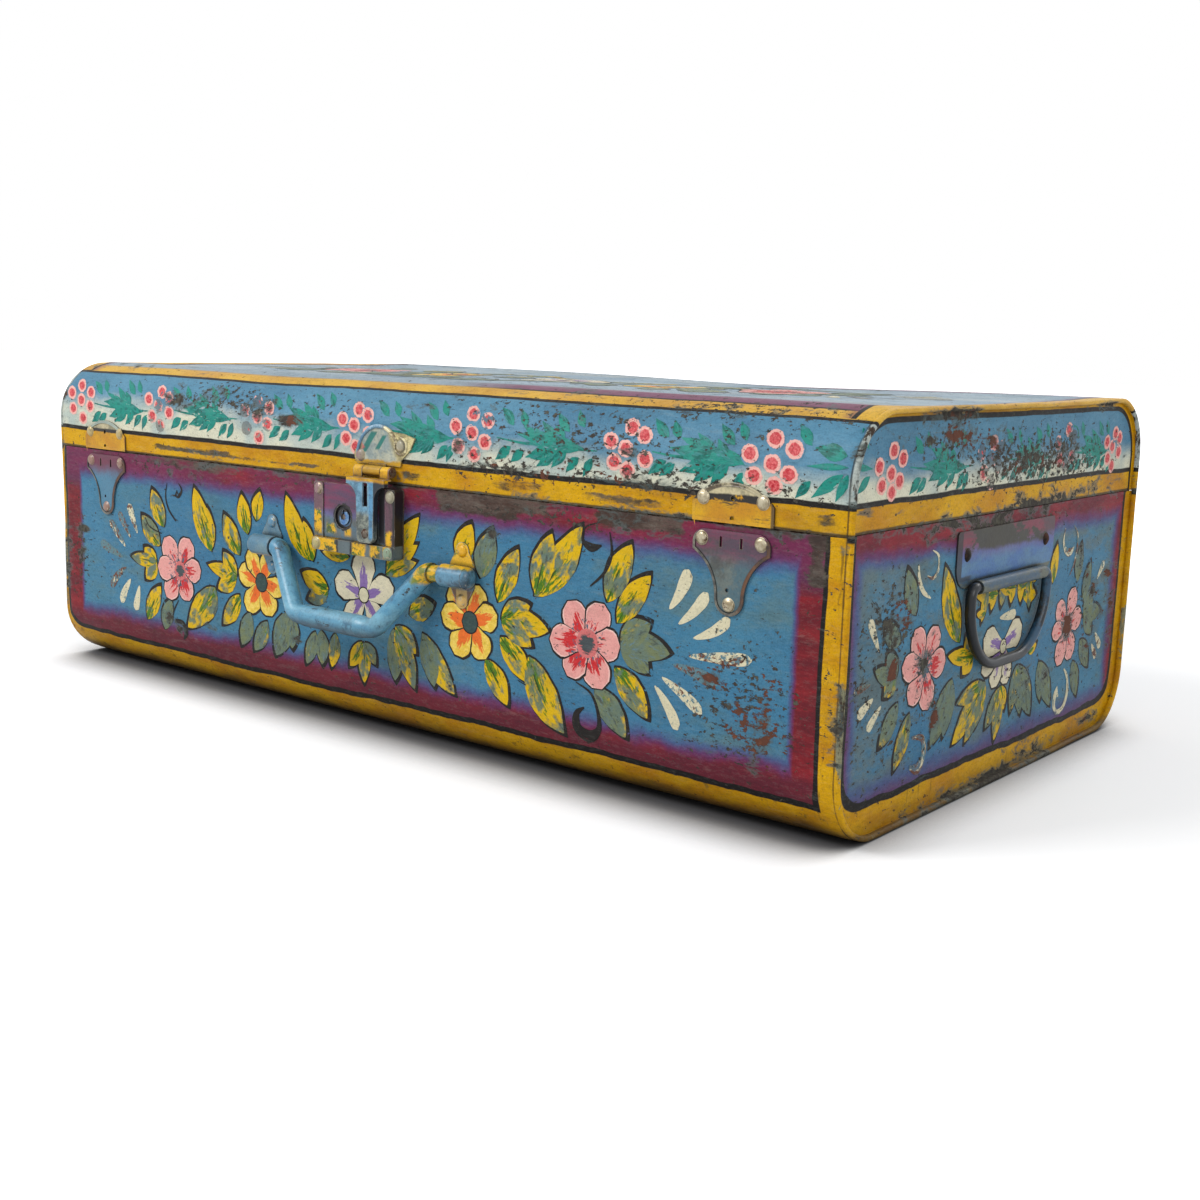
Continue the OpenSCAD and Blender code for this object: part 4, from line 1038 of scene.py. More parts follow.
def film(kind, face):
    """The paint of one kind of mark on one face; rubbed places show the field below."""
    if (kind, face) in PAINTS:
        return PAINTS[(kind, face)]
    f = Finish(
        kind + " on " + {"body": "front", "end": "end", "lid": "lid", "lidend": "lid end", "top": "top"}[face]
    )
    under = FIELDS[face](f)
    u, s, tone = f.parts(f.attribute("shape").outputs["Vector"])
    brush = f.attribute("brush").outputs["Vector"]

    def stroke(scale, detail, rough, stretch=None, twist=0):
        """Noise that follows the brush stroke."""
        return f.noise(scale, detail, rough, stretch, twist, brush)

    side = abs(s)
    streak = stroke(0.42, 3, 0.6, (0.30, 1.3, 1))
    blot = stroke(0.16, 5, 0.66, (0.8, 1, 1), 0.3)
    ghost = f.mix(0.42, under, srgb(116, 132, 112))
    rubbed = 0
    if kind == "leaf":
        green = f.mix(stroke(0.5, 2, 0.5), srgb(84, 128, 22), srgb(60, 98, 26))
        gold = f.mix(streak, srgb(226, 184, 8), srgb(196, 158, 14))
        at = streak + (1 - u) * 0.34 + side * -0.16
        colour = f.mix(f.step(at, 0.62, 0.74), gold, green)
        vein = side + (streak - 0.5) * 0.5
        colour = f.mix(f.step(vein, 0.10, 0.03) * f.step(u, 0.62, 0.5), colour, srgb(46, 70, 20))
        rubbed = f.step(stroke(0.085, 3, 0.6, (0.8, 1, 1)) * 0.75 + blot * 0.25 + tone * 0.30, 0.575, 0.69)
        ghost = f.mottled(srgb(98, 116, 104), srgb(112, 122, 88), 0.38, 0.62, 0.10, 4, 0.65, None, 0, brush)
        ghost = f.mottled(ghost, srgb(74, 82, 76), 0.52, 0.66, 0.20, 5, 0.7, (0.5, 1.2, 1), 0, brush)
        ghost = f.mix(f.step(streak, 0.55, 0.72), ghost, f.mix(0.5, under, srgb(120, 136, 130)))
    elif kind == "outline":
        colour = f.mix(stroke(0.5, 2, 0.5), srgb(24, 20, 20), srgb(44, 40, 38))
        rubbed = f.step(stroke(0.22, 4, 0.6) + tone * 0.18, 0.66, 0.76)
        ghost = under
    elif kind == "pink":
        pale = f.mix(streak, srgb(230, 168, 158), srgb(214, 142, 138))
        at = streak + tone * 0.30 + abs(u - 0.42) * -0.85
        colour = f.mix(f.step(at + side * -0.30, 0.43, 0.50), pale, srgb(196, 44, 48))
        colour = f.mix(f.step(side + u * 0.25, 1.02, 1.16), colour, srgb(240, 196, 186))
        heart = stroke(0.5, 4, 0.65, (0.6, 1, 1), 0.4) + (0.55 - u) * 0.42
        rubbed = f.step(heart, 0.60, 0.68)
        ghost = f.mix(stroke(0.6, 3, 0.6), f.mix(0.4, under, srgb(90, 96, 100)), srgb(70, 78, 84))
    elif kind == "sun":
        pale = f.mottled(srgb(222, 184, 62), srgb(236, 206, 100), 0.35, 0.65, 0.30, 4, 0.65, None, 0, brush)
        ray = (0.76 - u) * 1.1 + side * -0.66
        ray = ray + (streak - 0.5)
        colour = f.mix(f.step(ray, -0.08, 0.04), pale, f.mix(streak, srgb(218, 84, 30), srgb(232, 126, 48)))
        rubbed = f.step(blot, 0.72, 0.78)
    elif kind == "violet":
        pale = f.mix(streak, srgb(226, 216, 184), srgb(204, 196, 170))
        ray = (0.80 - u) * 0.9 + side * -0.70
        ray = ray + (streak - 0.5) * 1.1 + tone * 0.08
        colour = f.mix(f.step(ray, 0.04, 0.14), pale, f.mix(streak, srgb(112, 74, 150), srgb(150, 128, 172)))
        rubbed = f.step(blot, 0.70, 0.78)
    elif kind == "cream":
        colour = f.mix(streak, srgb(224, 216, 184), srgb(198, 190, 158))
        brown = f.step(blot + tone * 0.5, 0.80, 0.86)
        colour = f.mix(brown, colour, srgb(104, 66, 52))
        rubbed = f.step(stroke(0.35, 4, 0.65) + tone * 0.20, 0.62, 0.70)
    elif kind == "eye":
        colour = f.mix(stroke(0.5, 3, 0.5), srgb(46, 66, 66), srgb(62, 80, 76))
    elif kind == "smudge":
        off = f.math("SQRT", (u - 0.5) * (u - 0.5) + s * s * 0.25)
        colour = f.mix(streak, srgb(52, 58, 60), srgb(82, 88, 92))
        grain = stroke(0.55, 4, 0.7, (0.5, 1.4, 1), 0.5)
        rubbed = f.step(off * 1.15 + grain, 0.84, 0.92)
        ghost = f.mix(grain, srgb(214, 138, 134), srgb(190, 70, 72))
    elif kind == "berry":
        bx, by, bz = f.parts(brush)
        reach = f.math("SQRT", bx * bx + by * by * 1.25)
        wave = f.sway(0.42, 0.45, 3, 0.6, None, 0, brush)
        r = reach * 0.166 + wave
        rim = f.mix(streak, srgb(238, 186, 174), srgb(220, 156, 146))
        red = f.mottled(srgb(180, 38, 50), srgb(222, 112, 112), 0.35, 0.70, 0.6, 4, 0.7, None, 0.6, brush)
        colour = f.mix(f.step(r, 0.70, 0.58), rim, red)
        rubbed = f.high(f.step(r, 0.93, 1), f.step(blot + tone * 0.34, 0.68, 0.74))
        ghost = f.mix(f.step(r, 0.93, 1), f.mix(0.6, under, srgb(78, 74, 72)), under)
    elif kind == "teal":
        colour = f.mix(streak, srgb(14, 128, 112), srgb(44, 140, 128))
        colour = f.mix(
            f.step(blot, 0.44, 0.60), colour,
            f.mix(f.step(streak, 0.4, 0.6), srgb(16, 94, 84), srgb(56, 128, 126))
        )
        rubbed = f.step(streak + side * 0.16 + tone * 0.22, 0.74, 0.90)
        ghost = under
    colour = f.mix(rubbed, colour, ghost)
    colour, roughness, height = worn(f, colour, f.worth("wear"), 0.40, 0.7)
    height = height + streak * 0.8
    PAINTS[(kind, face)] = f.finish(colour, roughness, height, 0.0003)
    return PAINTS[(kind, face)]


def paint_leaf(skin, face, group, leaf, seed):
    """A leaf over its black outline, which is a little larger and set to one side."""
    tip, base, half, tone = leaf[:4]
    bow = leaf[4] if len(leaf) > 4 else half * 0.12
    low, high = longer(base, tip, 1.2, 3.6)
    lift = 0.005 * (int(seed * 10) % 11)
    place = straight(low, high, half + 0.95, leaf_width, bow, 0.75 if base[0] < tip[0] else -0.75, seed)
    lay("leaf", skin, place, 0.10 + lift, film("outline", face), tone * 0.5, seed, group)
    lay(
        "leaf", skin, straight(base, tip, half, leaf_width, bow, 0, seed), 0.17 + lift, film("leaf", face),
        tone, seed, group
    )


def paint_petals(skin, face, group, kind, centre, petals, eye, seed):
    """A flower: each petal lies over its outline and over the petal before it."""
    rim = 1 if kind == "pink" else 1.3
    for i, (a, b, r, tone) in enumerate(petals):
        dist = math.hypot(a - centre[0], b - centre[1])
        tip = (a + (a - centre[0]) / dist * r, b + (b - centre[1]) / dist * r)
        low, high = longer(centre, tip, 0, rim)
        outline = straight(low, high, r + rim - 0.1, petal_width, 0, 0.35, seed + i, 0.02)
        lay("petal", skin, outline, 0.10 + 0.032 * i, film("outline", face), 0, seed + i, group)
        petal = straight(centre, tip, r - 0.3, petal_width, 0, 0, seed + i, 0.02)
        lay("petal", skin, petal, 0.116 + 0.032 * i, film(kind, face), tone, seed + i, group)
    if eye:
        if kind != "pink":
            lay("disc", skin, disc(centre, eye + 0.9), 0.33, film("outline", face), 0, seed, group)
        top = {"violet": "cream", "sun": "eye", "pink": "smudge"}[kind]
        lay(
            "disc", skin, disc(centre, eye * (1.5 if kind == "pink" else 1)), 0.36, film(top, face), 0, seed,
            group
        )


def disc(centre, r, squeeze=1, lean=0):
    """A round or oval mark."""
    def place(u, s):
        t = 2 * u - 1
        c, n = math.cos(lean), math.sin(lean)
        x, y = t * r, s * disc_width(u) * r * squeeze
        return centre[0] + x * c - y * n, centre[1] + x * n + y * c
    return place


# The drawing, in millimetres across and up each face. Leaves: tip, base, half width, how rubbed, bow.
# Flowers: kind, middle, petals with size and tone, size of the eye. Dabs: far end, near end, half width,
# how rubbed, bow. Lines: points along the stroke and half widths at them, and how rubbed
FRONT_LEAVES = (
    ((-252, 153), (-237, 125), 8.5, 0.35), ((-266, 131), (-243, 109), 8.5, 0.4),
    ((-282, 96), (-248, 96), 5.5, 0.45), ((-264, 105), (-248, 94), 7, 0.2), ((-262, 80), (-249, 97), 7.5, 0.5),
    ((-243, 76), (-261, 47), 8, 0.45), ((-229, 67), (-238, 42), 7.5, 1.3),
    ((-181, 145), (-176, 113), 7.5, 0.2), ((-197, 159), (-176, 112), 10, 0.1),
    ((-188, 54), (-172, 84), 8.5, 0.5), ((-207, 48), (-173, 84), 11, 0.45),
    ((-180, 101), (-146, 97), 5.5, 0.3), ((-161, 113), (-146, 96), 7, 0.35),
    ((-168, 84), (-146, 97), 7.5, 0.45),
    ((-139, 159), (-132, 130), 7.5, 0.1), ((-117, 163), (-121, 141), 6.5, 0.2),
    ((-160, 142), (-142, 113), 8.5, 0.35),
    ((-162, 57), (-142, 82), 7.5, 0.25), ((-140, 44), (-130, 70), 7.5, 0.8), ((-125, 42), (-110, 66), 7, 0.7),
    ((-82, 50), (-86, 76), 8, 1.1), ((-100, 42), (-88, 76), 10, 1.2),
    ((-87, 163), (-62, 118), 9, 0, 3), ((-68, 146), (-58, 118), 8, 0),
    ((-70, 108), (-42, 99), 8, 0.25), ((-64, 89), (-42, 99), 7, 0.6),
    ((-47, 126), (-19, 125), 4.5, 0.1),
    ((-66, 41), (-56, 66), 6, 0.8), ((-49, 43), (-50, 68), 7, 0.9), ((-38, 43), (-34, 68), 6, 0.5),
    ((-18, 47), (-6, 66), 6, 0.3), ((-4, 37), (-4, 66), 6, 0.5), ((8, 52), (-3, 66), 5, 0.6),
    ((48, 66), (28, 82), 7, 0.4), ((28, 44), (26, 80), 8, 1), ((47, 41), (28, 80), 8, 0.5),
    ((50, 160), (20, 118), 8.5, 0.1), ((49, 141), (19, 118), 6, 0.1), ((48, 129), (19, 117), 5, 0.3),
    ((22, 150), (25, 120), 5, 0.2),
    ((65, 102), (42, 92), 8, 0.4), ((66, 46), (55, 80), 8, 0.9), ((85, 44), (54, 81), 9, 0.55, -3),
    ((99, 160), (89, 133), 8.5, 0.15), ((118, 158), (108, 126), 9, 0.8), ((140, 148), (124, 112), 8.5, 0.35),
    ((168, 161), (156, 121), 9, 0.4), ((192, 168), (155, 120), 11, 0.4, -2.5),
    ((151, 113), (127, 101), 7.5, 0.35), ((153, 87), (127, 100), 7.5, 0.4), ((167, 99), (127, 101), 8.5, 0.3),
    ((152, 63), (126, 89), 8.5, 0.15), ((133, 45), (113, 72), 8, 0.2), ((162, 46), (152, 80), 9, 0.45),
    ((181, 35), (151, 80), 12, 0.35, -3),
    ((231, 161), (214, 124), 9, 0.4), ((246, 144), (222, 112), 8, 0.3),
    ((247, 115), (225, 100), 8, 0.8), ((247, 85), (225, 100), 8, 1.1), ((262, 99), (225, 100), 8.5, 0.9),
    ((247, 57), (221, 84), 8.5, 0.4), ((231, 42), (206, 69), 8.5, 0.75),
)
FRONT_FLOWERS = (
    (
        "pink", (-216, 92),
        (
            (-230, 108, 10.5, 0.1), (-208, 109, 10.5, 0.5), (-199, 94, 9.5, 0.4), (-209, 78, 9.5, 0.9),
            (-229, 76, 9.5, 0.6), (-236, 92, 10, 0)
        ),
        5
    ),
    (
        "pink", (199, 96),
        (
            (188, 112, 10, 0.5), (207, 113, 10, 0.1), (214, 97, 10.5, 0), (207, 79, 11, 0.6),
            (189, 81, 9.5, 0.8), (179, 95, 10.5, 0.7)
        ),
        6
    ),
    (
        "sun", (-116, 95),
        (
            (-134, 99, 9.5, 0), (-128, 79, 9.5, 0), (-109, 80, 10, 0), (-99, 93, 8, 0), (-109, 111, 8, 0),
            (-127, 111, 8, 0)
        ),
        6.5
    ),
    (
        "sun", (99, 95),
        (
            (85, 110, 8, 0), (104, 111, 10, 0), (114, 100, 9.5, 0), (108, 81, 10, 0), (90, 80, 10, 0),
            (82, 97, 9.5, 0)
        ),
        6.8
    ),
    (
        "violet", (-4, 100),
        (
            (-16, 84, 9.5, 0), (10, 84, 9.5, 0), (-24, 105, 10.5, 0.2), (16, 106, 10.5, 0.2),
            (-4, 119, 11.5, 0.5)
        ),
        5
    ),
)
FRONT_DABS = (
    ((274, 151), (261, 126), 5.2, 0.1, -1.5), ((288, 139), (268, 118), 4.6, 0.1, -1.5),
    ((304, 126), (279, 111), 4.4, 0.15, -2),
    ((320, 104), (276, 100), 4.8, 0.62, 0), ((297, 86), (265, 93), 5, 1, 1),
    ((287, 67), (257, 84), 4.6, 0.5, 1), ((270, 54), (252, 78), 4.4, 0.1, 1.5),
    ((-284, 139), (-273, 116), 4.6, 0.55, 0), ((-298, 131), (-282, 111), 4.2, 0.85, 0),
    ((-311, 123), (-290, 103), 4.4, 0.75, 0),
    ((-326, 103), (-294, 94), 4.6, 1.2, 0), ((-312, 67), (-290, 86), 4.6, 0.8, -2),
    ((-298, 56), (-284, 77), 4.8, 0.35, -1), ((-278, 52), (-272, 73), 4.8, 0.1, 0),
)
FRONT_LINES = (
    (((-232, 160), (-234, 149), (-230, 139), (-221, 131)), (0.3, 0.8, 0.9, 0.8)),
    (((-217, 161), (-213, 156), (-217, 151), (-221, 153)), (0.3, 1.1, 1.8, 3)),
    (((214, 167), (216, 154), (211, 142), (200, 132)), (0.4, 1.1, 1.1, 0.5)),
    (((206, 172), (195, 168), (193, 160), (200, 156), (208, 158)), (0.2, 0.6, 1.2, 2.8, 0.6)),
    (
        ((191, 70), (203, 65), (209, 54), (210, 43), (202, 37), (193, 41), (192, 50), (198, 55)),
        (0.4, 0.9, 1.3, 2.2, 4.2, 3.6, 2.4, 0.6)
    ),
    (((-219, 68), (-226, 58), (-228, 49)), (0.4, 0.9, 0.4)),
    (((-224, 51), (-214, 50), (-210, 43), (-214, 37)), (1.6, 2.2, 2.6, 0.6)),
    (((142, 63), (149, 61)), (0.3, 0.4)), (((-262, 130), (-256, 123), (-240, 119)), (0.5, 0.6, 0.4)),
)
END_LEAVES = (
    ((-79, 137), (-67, 103), 7, 0.2), ((-92, 152), (-65, 102), 10, 0.4, 3), ((-140, 155), (-127, 127), 7.5, 1),
    ((-79, 95), (-44, 90), 5.5, 0.1), ((-57, 80), (-46, 94), 7.5, 0.2), ((-56, 104), (-46, 90), 6.5, 0.3),
    ((-172, 100), (-148, 92), 5.5, 1.2), ((-158, 108), (-146, 93), 7, 1.3), ((-160, 83), (-147, 95), 7, 0.5),
    ((-164, 126), (-144, 112), 7, 1.2), ((-162, 53), (-142, 76), 7.5, 0.8), ((-142, 35), (-126, 67), 7.5, 0.6),
    ((-79, 44), (-71, 79), 8, 1.2), ((-96, 41), (-71, 79), 10, 1.2),
    ((-62, 62), (-26, 70), 6, 0.6), ((-65, 36), (-24, 70), 9, 0.5), ((-47, 34), (-24, 70), 8, 0.5),
    ((-33, 41), (-23, 70), 6, 0.6),
    ((-18, 38), (1, 62), 7, 0.5), ((-3, 27), (1, 63), 7.5, 0.4), ((9, 46), (2, 63), 5.5, 0.2),
    ((20, 42), (25, 73), 7, 0.7), ((36, 38), (25, 73), 8, 0.9), ((53, 35), (25, 73), 10, 0.8),
    ((69, 42), (63, 70), 7, 1.1), ((88, 35), (62, 70), 8.5, 1.2), ((56, 84), (44, 79), 4, 0.1),
    ((80, 151), (76, 124), 6.5, 0.3), ((126, 147), (122, 120), 7, 1.2), ((146, 132), (137, 104), 7, 1.3),
    ((155, 110), (140, 92), 8.5, 1.3), ((157, 78), (140, 93), 7, 1), ((172, 93), (140, 92), 7, 1.3),
    ((156, 53), (136, 75), 7.5, 1), ((138, 34), (125, 61), 7.5, 1.2),
    ((-46, 129), (-13, 127), 5, 0.1), ((-12, 131), (15, 128), 5, 0.1), ((47, 130), (19, 129), 5, 0.2),
    ((48, 119), (27, 121), 6, 0.3), ((-43, 117), (-30, 116), 3, 0.1),
    ((-35, 111), (-31, 135), 5, 0.35), ((-22, 117), (-19, 135), 5.2, 0.15), ((-7, 118), (-6, 135), 5.2, 0.6),
    ((8, 118), (8, 135), 5.2, 0.3), ((23, 117), (21, 135), 5.2, 0.15), ((38, 111), (34, 135), 5.2, 0.4),
)
END_FLOWERS = (
    (
        "pink", (-110, 93),
        (
            (-121, 110, 9.5, 0.1), (-101, 108, 9.5, 0.4), (-92, 93, 9.5, 0.7), (-105, 75, 10, 0.5),
            (-122, 80, 9.5, 0), (-131, 96, 9, 0)
        ),
        0
    ),
    (
        "pink", (108, 90),
        (
            (95, 102, 8.5, 0.1), (116, 108, 9, 0), (127, 93, 8.5, 0), (117, 73, 10, 0.2), (100, 71, 9.5, 0),
            (89, 88, 7, 0.2)
        ),
        0
    ),
    (
        "violet", (1, 90), ((20, 97, 10, 0), (8, 72, 9, 0), (-8, 72, 9, 0), (-22, 80, 8, 0), (-20, 96, 10, 0)),
        4.5
    ),
)
END_DABS = (
    ((-182, 131), (-169, 111), 4, 0.4, 0), ((-190, 76), (-173, 84), 4.4, 0.2, 0),
    ((-178, 66), (-163, 78), 4, 0.4, 0), ((-196, 91), (-177, 93), 3, 0.8, 0),
    ((173, 130), (161, 118), 3.6, 0.5, 0), ((179, 64), (166, 77), 4, 0.5, 0),
    ((172, 57), (161, 69), 3.6, 0.5, 0), ((18, 110), (-7, 110), 4.2, 0.2, 0),
)
END_LINES = (
    (((-127, 157), (-125, 148), (-119, 140), (-109, 135)), (0.7, 1.8, 1.8, 0.5), 0.4),
    (((-110, 164), (-102, 160), (-101, 152), (-107, 147), (-115, 149)), (0.3, 1, 1.2, 1.2, 0.4), 0.5),
    (((93, 161), (91, 152), (96, 145), (104, 143), (112, 146)), (0.3, 1.2, 2.2, 3, 0.6), 0.6),
    (((108, 162), (116, 155), (117, 143), (112, 132), (106, 126)), (0.4, 1.2, 1.6, 1.2, 0.4), 0.8),
    (
        ((110, 58), (118, 50), (120, 38), (114, 29), (104, 27), (97, 32), (97, 40), (102, 43)),
        (0.6, 2, 2.2, 2.2, 2.2, 2.2, 3, 4.6), 0.5
    ),
    (((-121, 51), (-107, 48), (-104, 38), (-111, 30), (-122, 33)), (1, 2.4, 3, 4, 1.2), 0.8),
)
# Within a cluster and a sprig: each berry's middle; each leaf's tip, base and half width
BERRIES = ((-1, 0), (-15, 5), (2, 13), (14, 8), (13, -5), (-12, -8), (1, -14))
SPRIG_HAND = (
    (-16, 10, 8, 0, 3.6), (-3, 14, 10, 0, 3.4), (10, 11, 16, 0, 3.2), (-23, 3, 10, 0, 3.8), (33, -2, 2, 0, 4),
    (-16, -9, 8, -1, 3.6), (-6, -14, 12, -2, 3.6), (6, -15, 18, -3, 3), (-12, 1, 20, -1, 4.6),
)
SPRIG_LOOSE = (
    (-36, 19, -25, 9, 3), (-20, 20, -15, 10, 2.8), (11, 20, 21, 9, 3), (26, 21, 31, 11, 2.6),
    (-40, -14, -27, -5, 3), (-29, -14, -18, -6, 2.8), (19, -16, 29, -6, 2.8), (30, -18, 37, -6, 2.6),
)
# Clusters of berries and sprigs of leaves on the lid: across, up, how worn, how large
LID_CLUSTERS = (
    (-347, 219, 0.1), (-239, 219, 0.75), (-120, 217, 0.95), (-12, 217, 0.15), (98, 219, 0.5), (226, 218, 0.35),
    (327, 217, 0.15),
)
LID_SPRIGS = ((-293, 0.2), (-185, 0.45), (-66, 0.3), (46, 0.2), (160, 0.3), (280, 0.15))
LID_END_CLUSTERS = ((-167, 213, 0.15, 0.92), (-37, 214, 1.1, 0.95), (82, 217, 1, 0.95), (170, 214, 0.35, 0.92))
LID_END_SPRIGS = ((-105, 0.3), (20, 0.9), (128, 0.45))
CORNER_STROKES = (
    (343, 239, 352, 228, 3.4), (354, 227, 374, 224, 4.6), (349, 217, 375, 218, 1.8),
    (353, 200, 372, 214, 3.4), (368, 199, 375, 214, 2.8), (343, 199, 352, 209, 2.8),
)
CORNER_STROKES_END = ((-188, 216, -209, 218, 1.9), (-206, 203, -191, 212, 3), (-194, 227, -203, 239, 2.8))


def paint_cluster(skin, face, group, x, z, worn_off, seed, size=1):
    """Seven berries round the place x, z."""
    for i, (dx, dz) in enumerate(BERRIES):
        a = x + dx * 0.93 * size + 1.2 * math.sin(seed * 7 + i * 2.1)
        b = z + dz * 0.95 * size + math.cos(seed * 5 + i * 1.7)
        tone = worn_off * (0.35 + 0.65 * (0.5 + 0.5 * math.sin(seed * 3 + i * 4.3)))
        place = disc(
            (a, b), 7.4 * size * (1 + 0.09 * math.sin(seed * 11 + i * 2.7)), 0.82,
            0.9 + 0.5 * math.sin(seed * 2 + i)
        )
        lay("disc", skin, place, 0.17, film("berry", face), tone, seed * 10 + i, group)


def paint_sprig(skin, face, group, x, z, worn_off, seed):
    """A stem along the lid with its leaves."""
    place = curved(
        ((x - 40, z + 1), (x - 20, z - 1), (x, z - 1), (x + 22, z - 2), (x + 42, z - 2)),
        (0.3, 0.8, 1.6, 1, 0.3)
    )
    lay("line", skin, place, 0.10, film("teal", face), worn_off, seed, group)
    for i, (tx, tz, bx, bz, half) in enumerate(SPRIG_HAND + SPRIG_LOOSE):
        jx, jz = 1.4 * math.sin(seed * 9 + i * 3), math.cos(seed * 4 + i * 5)
        place = straight(
            (x + bx + jx, z + bz + jz), (x + tx + jx, z + tz + jz), half * 1.16, sprig_width,
            0.8 * math.sin(i + seed), 0, i
        )
        lay(
            "dab", skin, place, 0.10 + 0.008 * (i % 9), film("teal", face),
            worn_off * (0.6 + 0.5 * math.sin(i * 2 + seed)), seed * 10 + i, group
        )


def part_of(a):
    """The fifth of the trunk's length that a lies in, as 1 to 5."""
    return str(1 + max(0, min(4, int((a + 385) / 154))))


def paint_bouquet(skin, face, group, leaves, flowers, dabs, seeds):
    """Leaves, flowers and dabs, each in the group that its place along the face names."""
    (leaf_seed, leaf_step), (flower_seed, flower_step), (dab_seed, dab_step) = seeds
    for i, leaf in enumerate(leaves):
        paint_leaf(skin, face, group(leaf[0][0]), leaf, leaf_seed + i * leaf_step)
    for i, (kind, centre, petals, eye) in enumerate(flowers):
        paint_petals(skin, face, group(centre[0]), kind, centre, petals, eye, flower_seed + i * flower_step)
    for i, (far, near, half, tone, bow) in enumerate(dabs):
        place = straight(near, far, half, dab_width, bow, 0, i)
        lay("leaf", skin, place, 0.17, film("cream", face), tone, dab_seed + i * dab_step, group(far[0]))


def paint_strokes(skin, face, group, strokes, seed):
    """Teal strokes in the lid's corners."""
    for i, mark in enumerate(strokes):
        place = straight(mark[2:4], mark[0:2], mark[4], sprig_width, 0, 0, i)
        lay("dab", skin, place, 0.11 + 0.008 * i, film("teal", face), 0.2, seed + i * 3.1, group)


def paint_front():
    def group(a):
        return "flowers_front_" + part_of(a)

    seeds = (0, 3.7), (50, 9.1), (80, 2.3)
    paint_bouquet(front_skin, "body", group, FRONT_LEAVES, FRONT_FLOWERS, FRONT_DABS, seeds)
    for i, (points, widths) in enumerate(FRONT_LINES):
        lay(
            "line", front_skin, curved(points, widths), 0.22, film("outline", "body"), 0, i, group(points[0][0])
        )
    for i, (x, z, off) in enumerate(LID_CLUSTERS):
        paint_cluster(front_skin, "lid", "flowers_lid_" + part_of(x), x, z, off, 1 + i * 1.37)
    for i, (x, off) in enumerate(LID_SPRIGS):
        paint_sprig(front_skin, "lid", "flowers_lid_" + part_of(x), x, 217, off, 2 + i * 1.71)
    paint_strokes(front_skin, "lid", "flowers_lid_5", CORNER_STROKES, 0)


def paint_top():
    """The same row of flowers on the lid's top, much rubbed."""
    def seen(p):
        return p[0] * 1.02, (p[1] - 98) * 1.45 - 4

    leaves = [(seen(leaf[0]), seen(leaf[1]), leaf[2] * 1.3, leaf[3] + 0.45) for leaf in FRONT_LEAVES]
    flowers = [
        (kind, seen(centre), [seen(q[:2]) + (q[2] * 1.35, q[3]) for q in petals], eye * 1.3)
        for kind, centre, petals, eye in FRONT_FLOWERS
    ]
    dabs = [(seen(far), seen(near), half * 1.2, tone + 0.2, bow) for far, near, half, tone, bow in FRONT_DABS]
    seeds = (5, 4.1), (90, 5.3), (120, 2.9)
    paint_bouquet(top_skin, "top", lambda a: "flowers_top_" + part_of(a), leaves, flowers, dabs, seeds)


def paint_end(skin, word):
    def group(a):
        return "flowers_end_" + word + ("_1" if a < 0 else "_2")

    seeds = (11, 2.9), (20, 7.7), (60, 3.1)
    paint_bouquet(skin, "end", group, END_LEAVES, END_FLOWERS, END_DABS, seeds)
    for i, (points, widths, tone) in enumerate(END_LINES):
        lay(
            "line", skin, curved(points, widths), 0.22, film("cream", "end"), tone, i * 2.2, group(points[0][0])
        )
    for i, (x, z, off, size) in enumerate(LID_END_CLUSTERS):
        paint_cluster(skin, "lidend", "flowers_lid_end_" + word, x, z, off, 3 + i * 1.9, size)
    for i, (x, off) in enumerate(LID_END_SPRIGS):
        paint_sprig(skin, "lidend", "flowers_lid_end_" + word, x, 214, off, 5 + i * 2.3)
    paint_strokes(skin, "lidend", "flowers_lid_end_" + word, CORNER_STROKES_END, 40)


def gather_marks():
    """Joins the marks of each group into one piece, and removes the blanks."""
    for group, sheets in MARKS.items():
        only(*sheets)
        bpy.ops.object.join()
        film_piece = bpy.context.object
        film_piece.name = group
        bpy.ops.object.shade_smooth()
        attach(film_piece, "lid" if "_lid" in group or "_top" in group else "body")
    for blank in BLANKS.values():
        bpy.data.objects.remove(blank)


paint_front()
paint_top()
paint_end(end_skin(1), "right")
paint_end(end_skin(-1), "left")
gather_marks()


# Finishes of the fittings
def recolour(material, *names):
    """Gives CAD nodes their finish."""
    for n in names:
        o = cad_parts[n]
        o.data.materials.clear()
        o.data.materials.append(material)


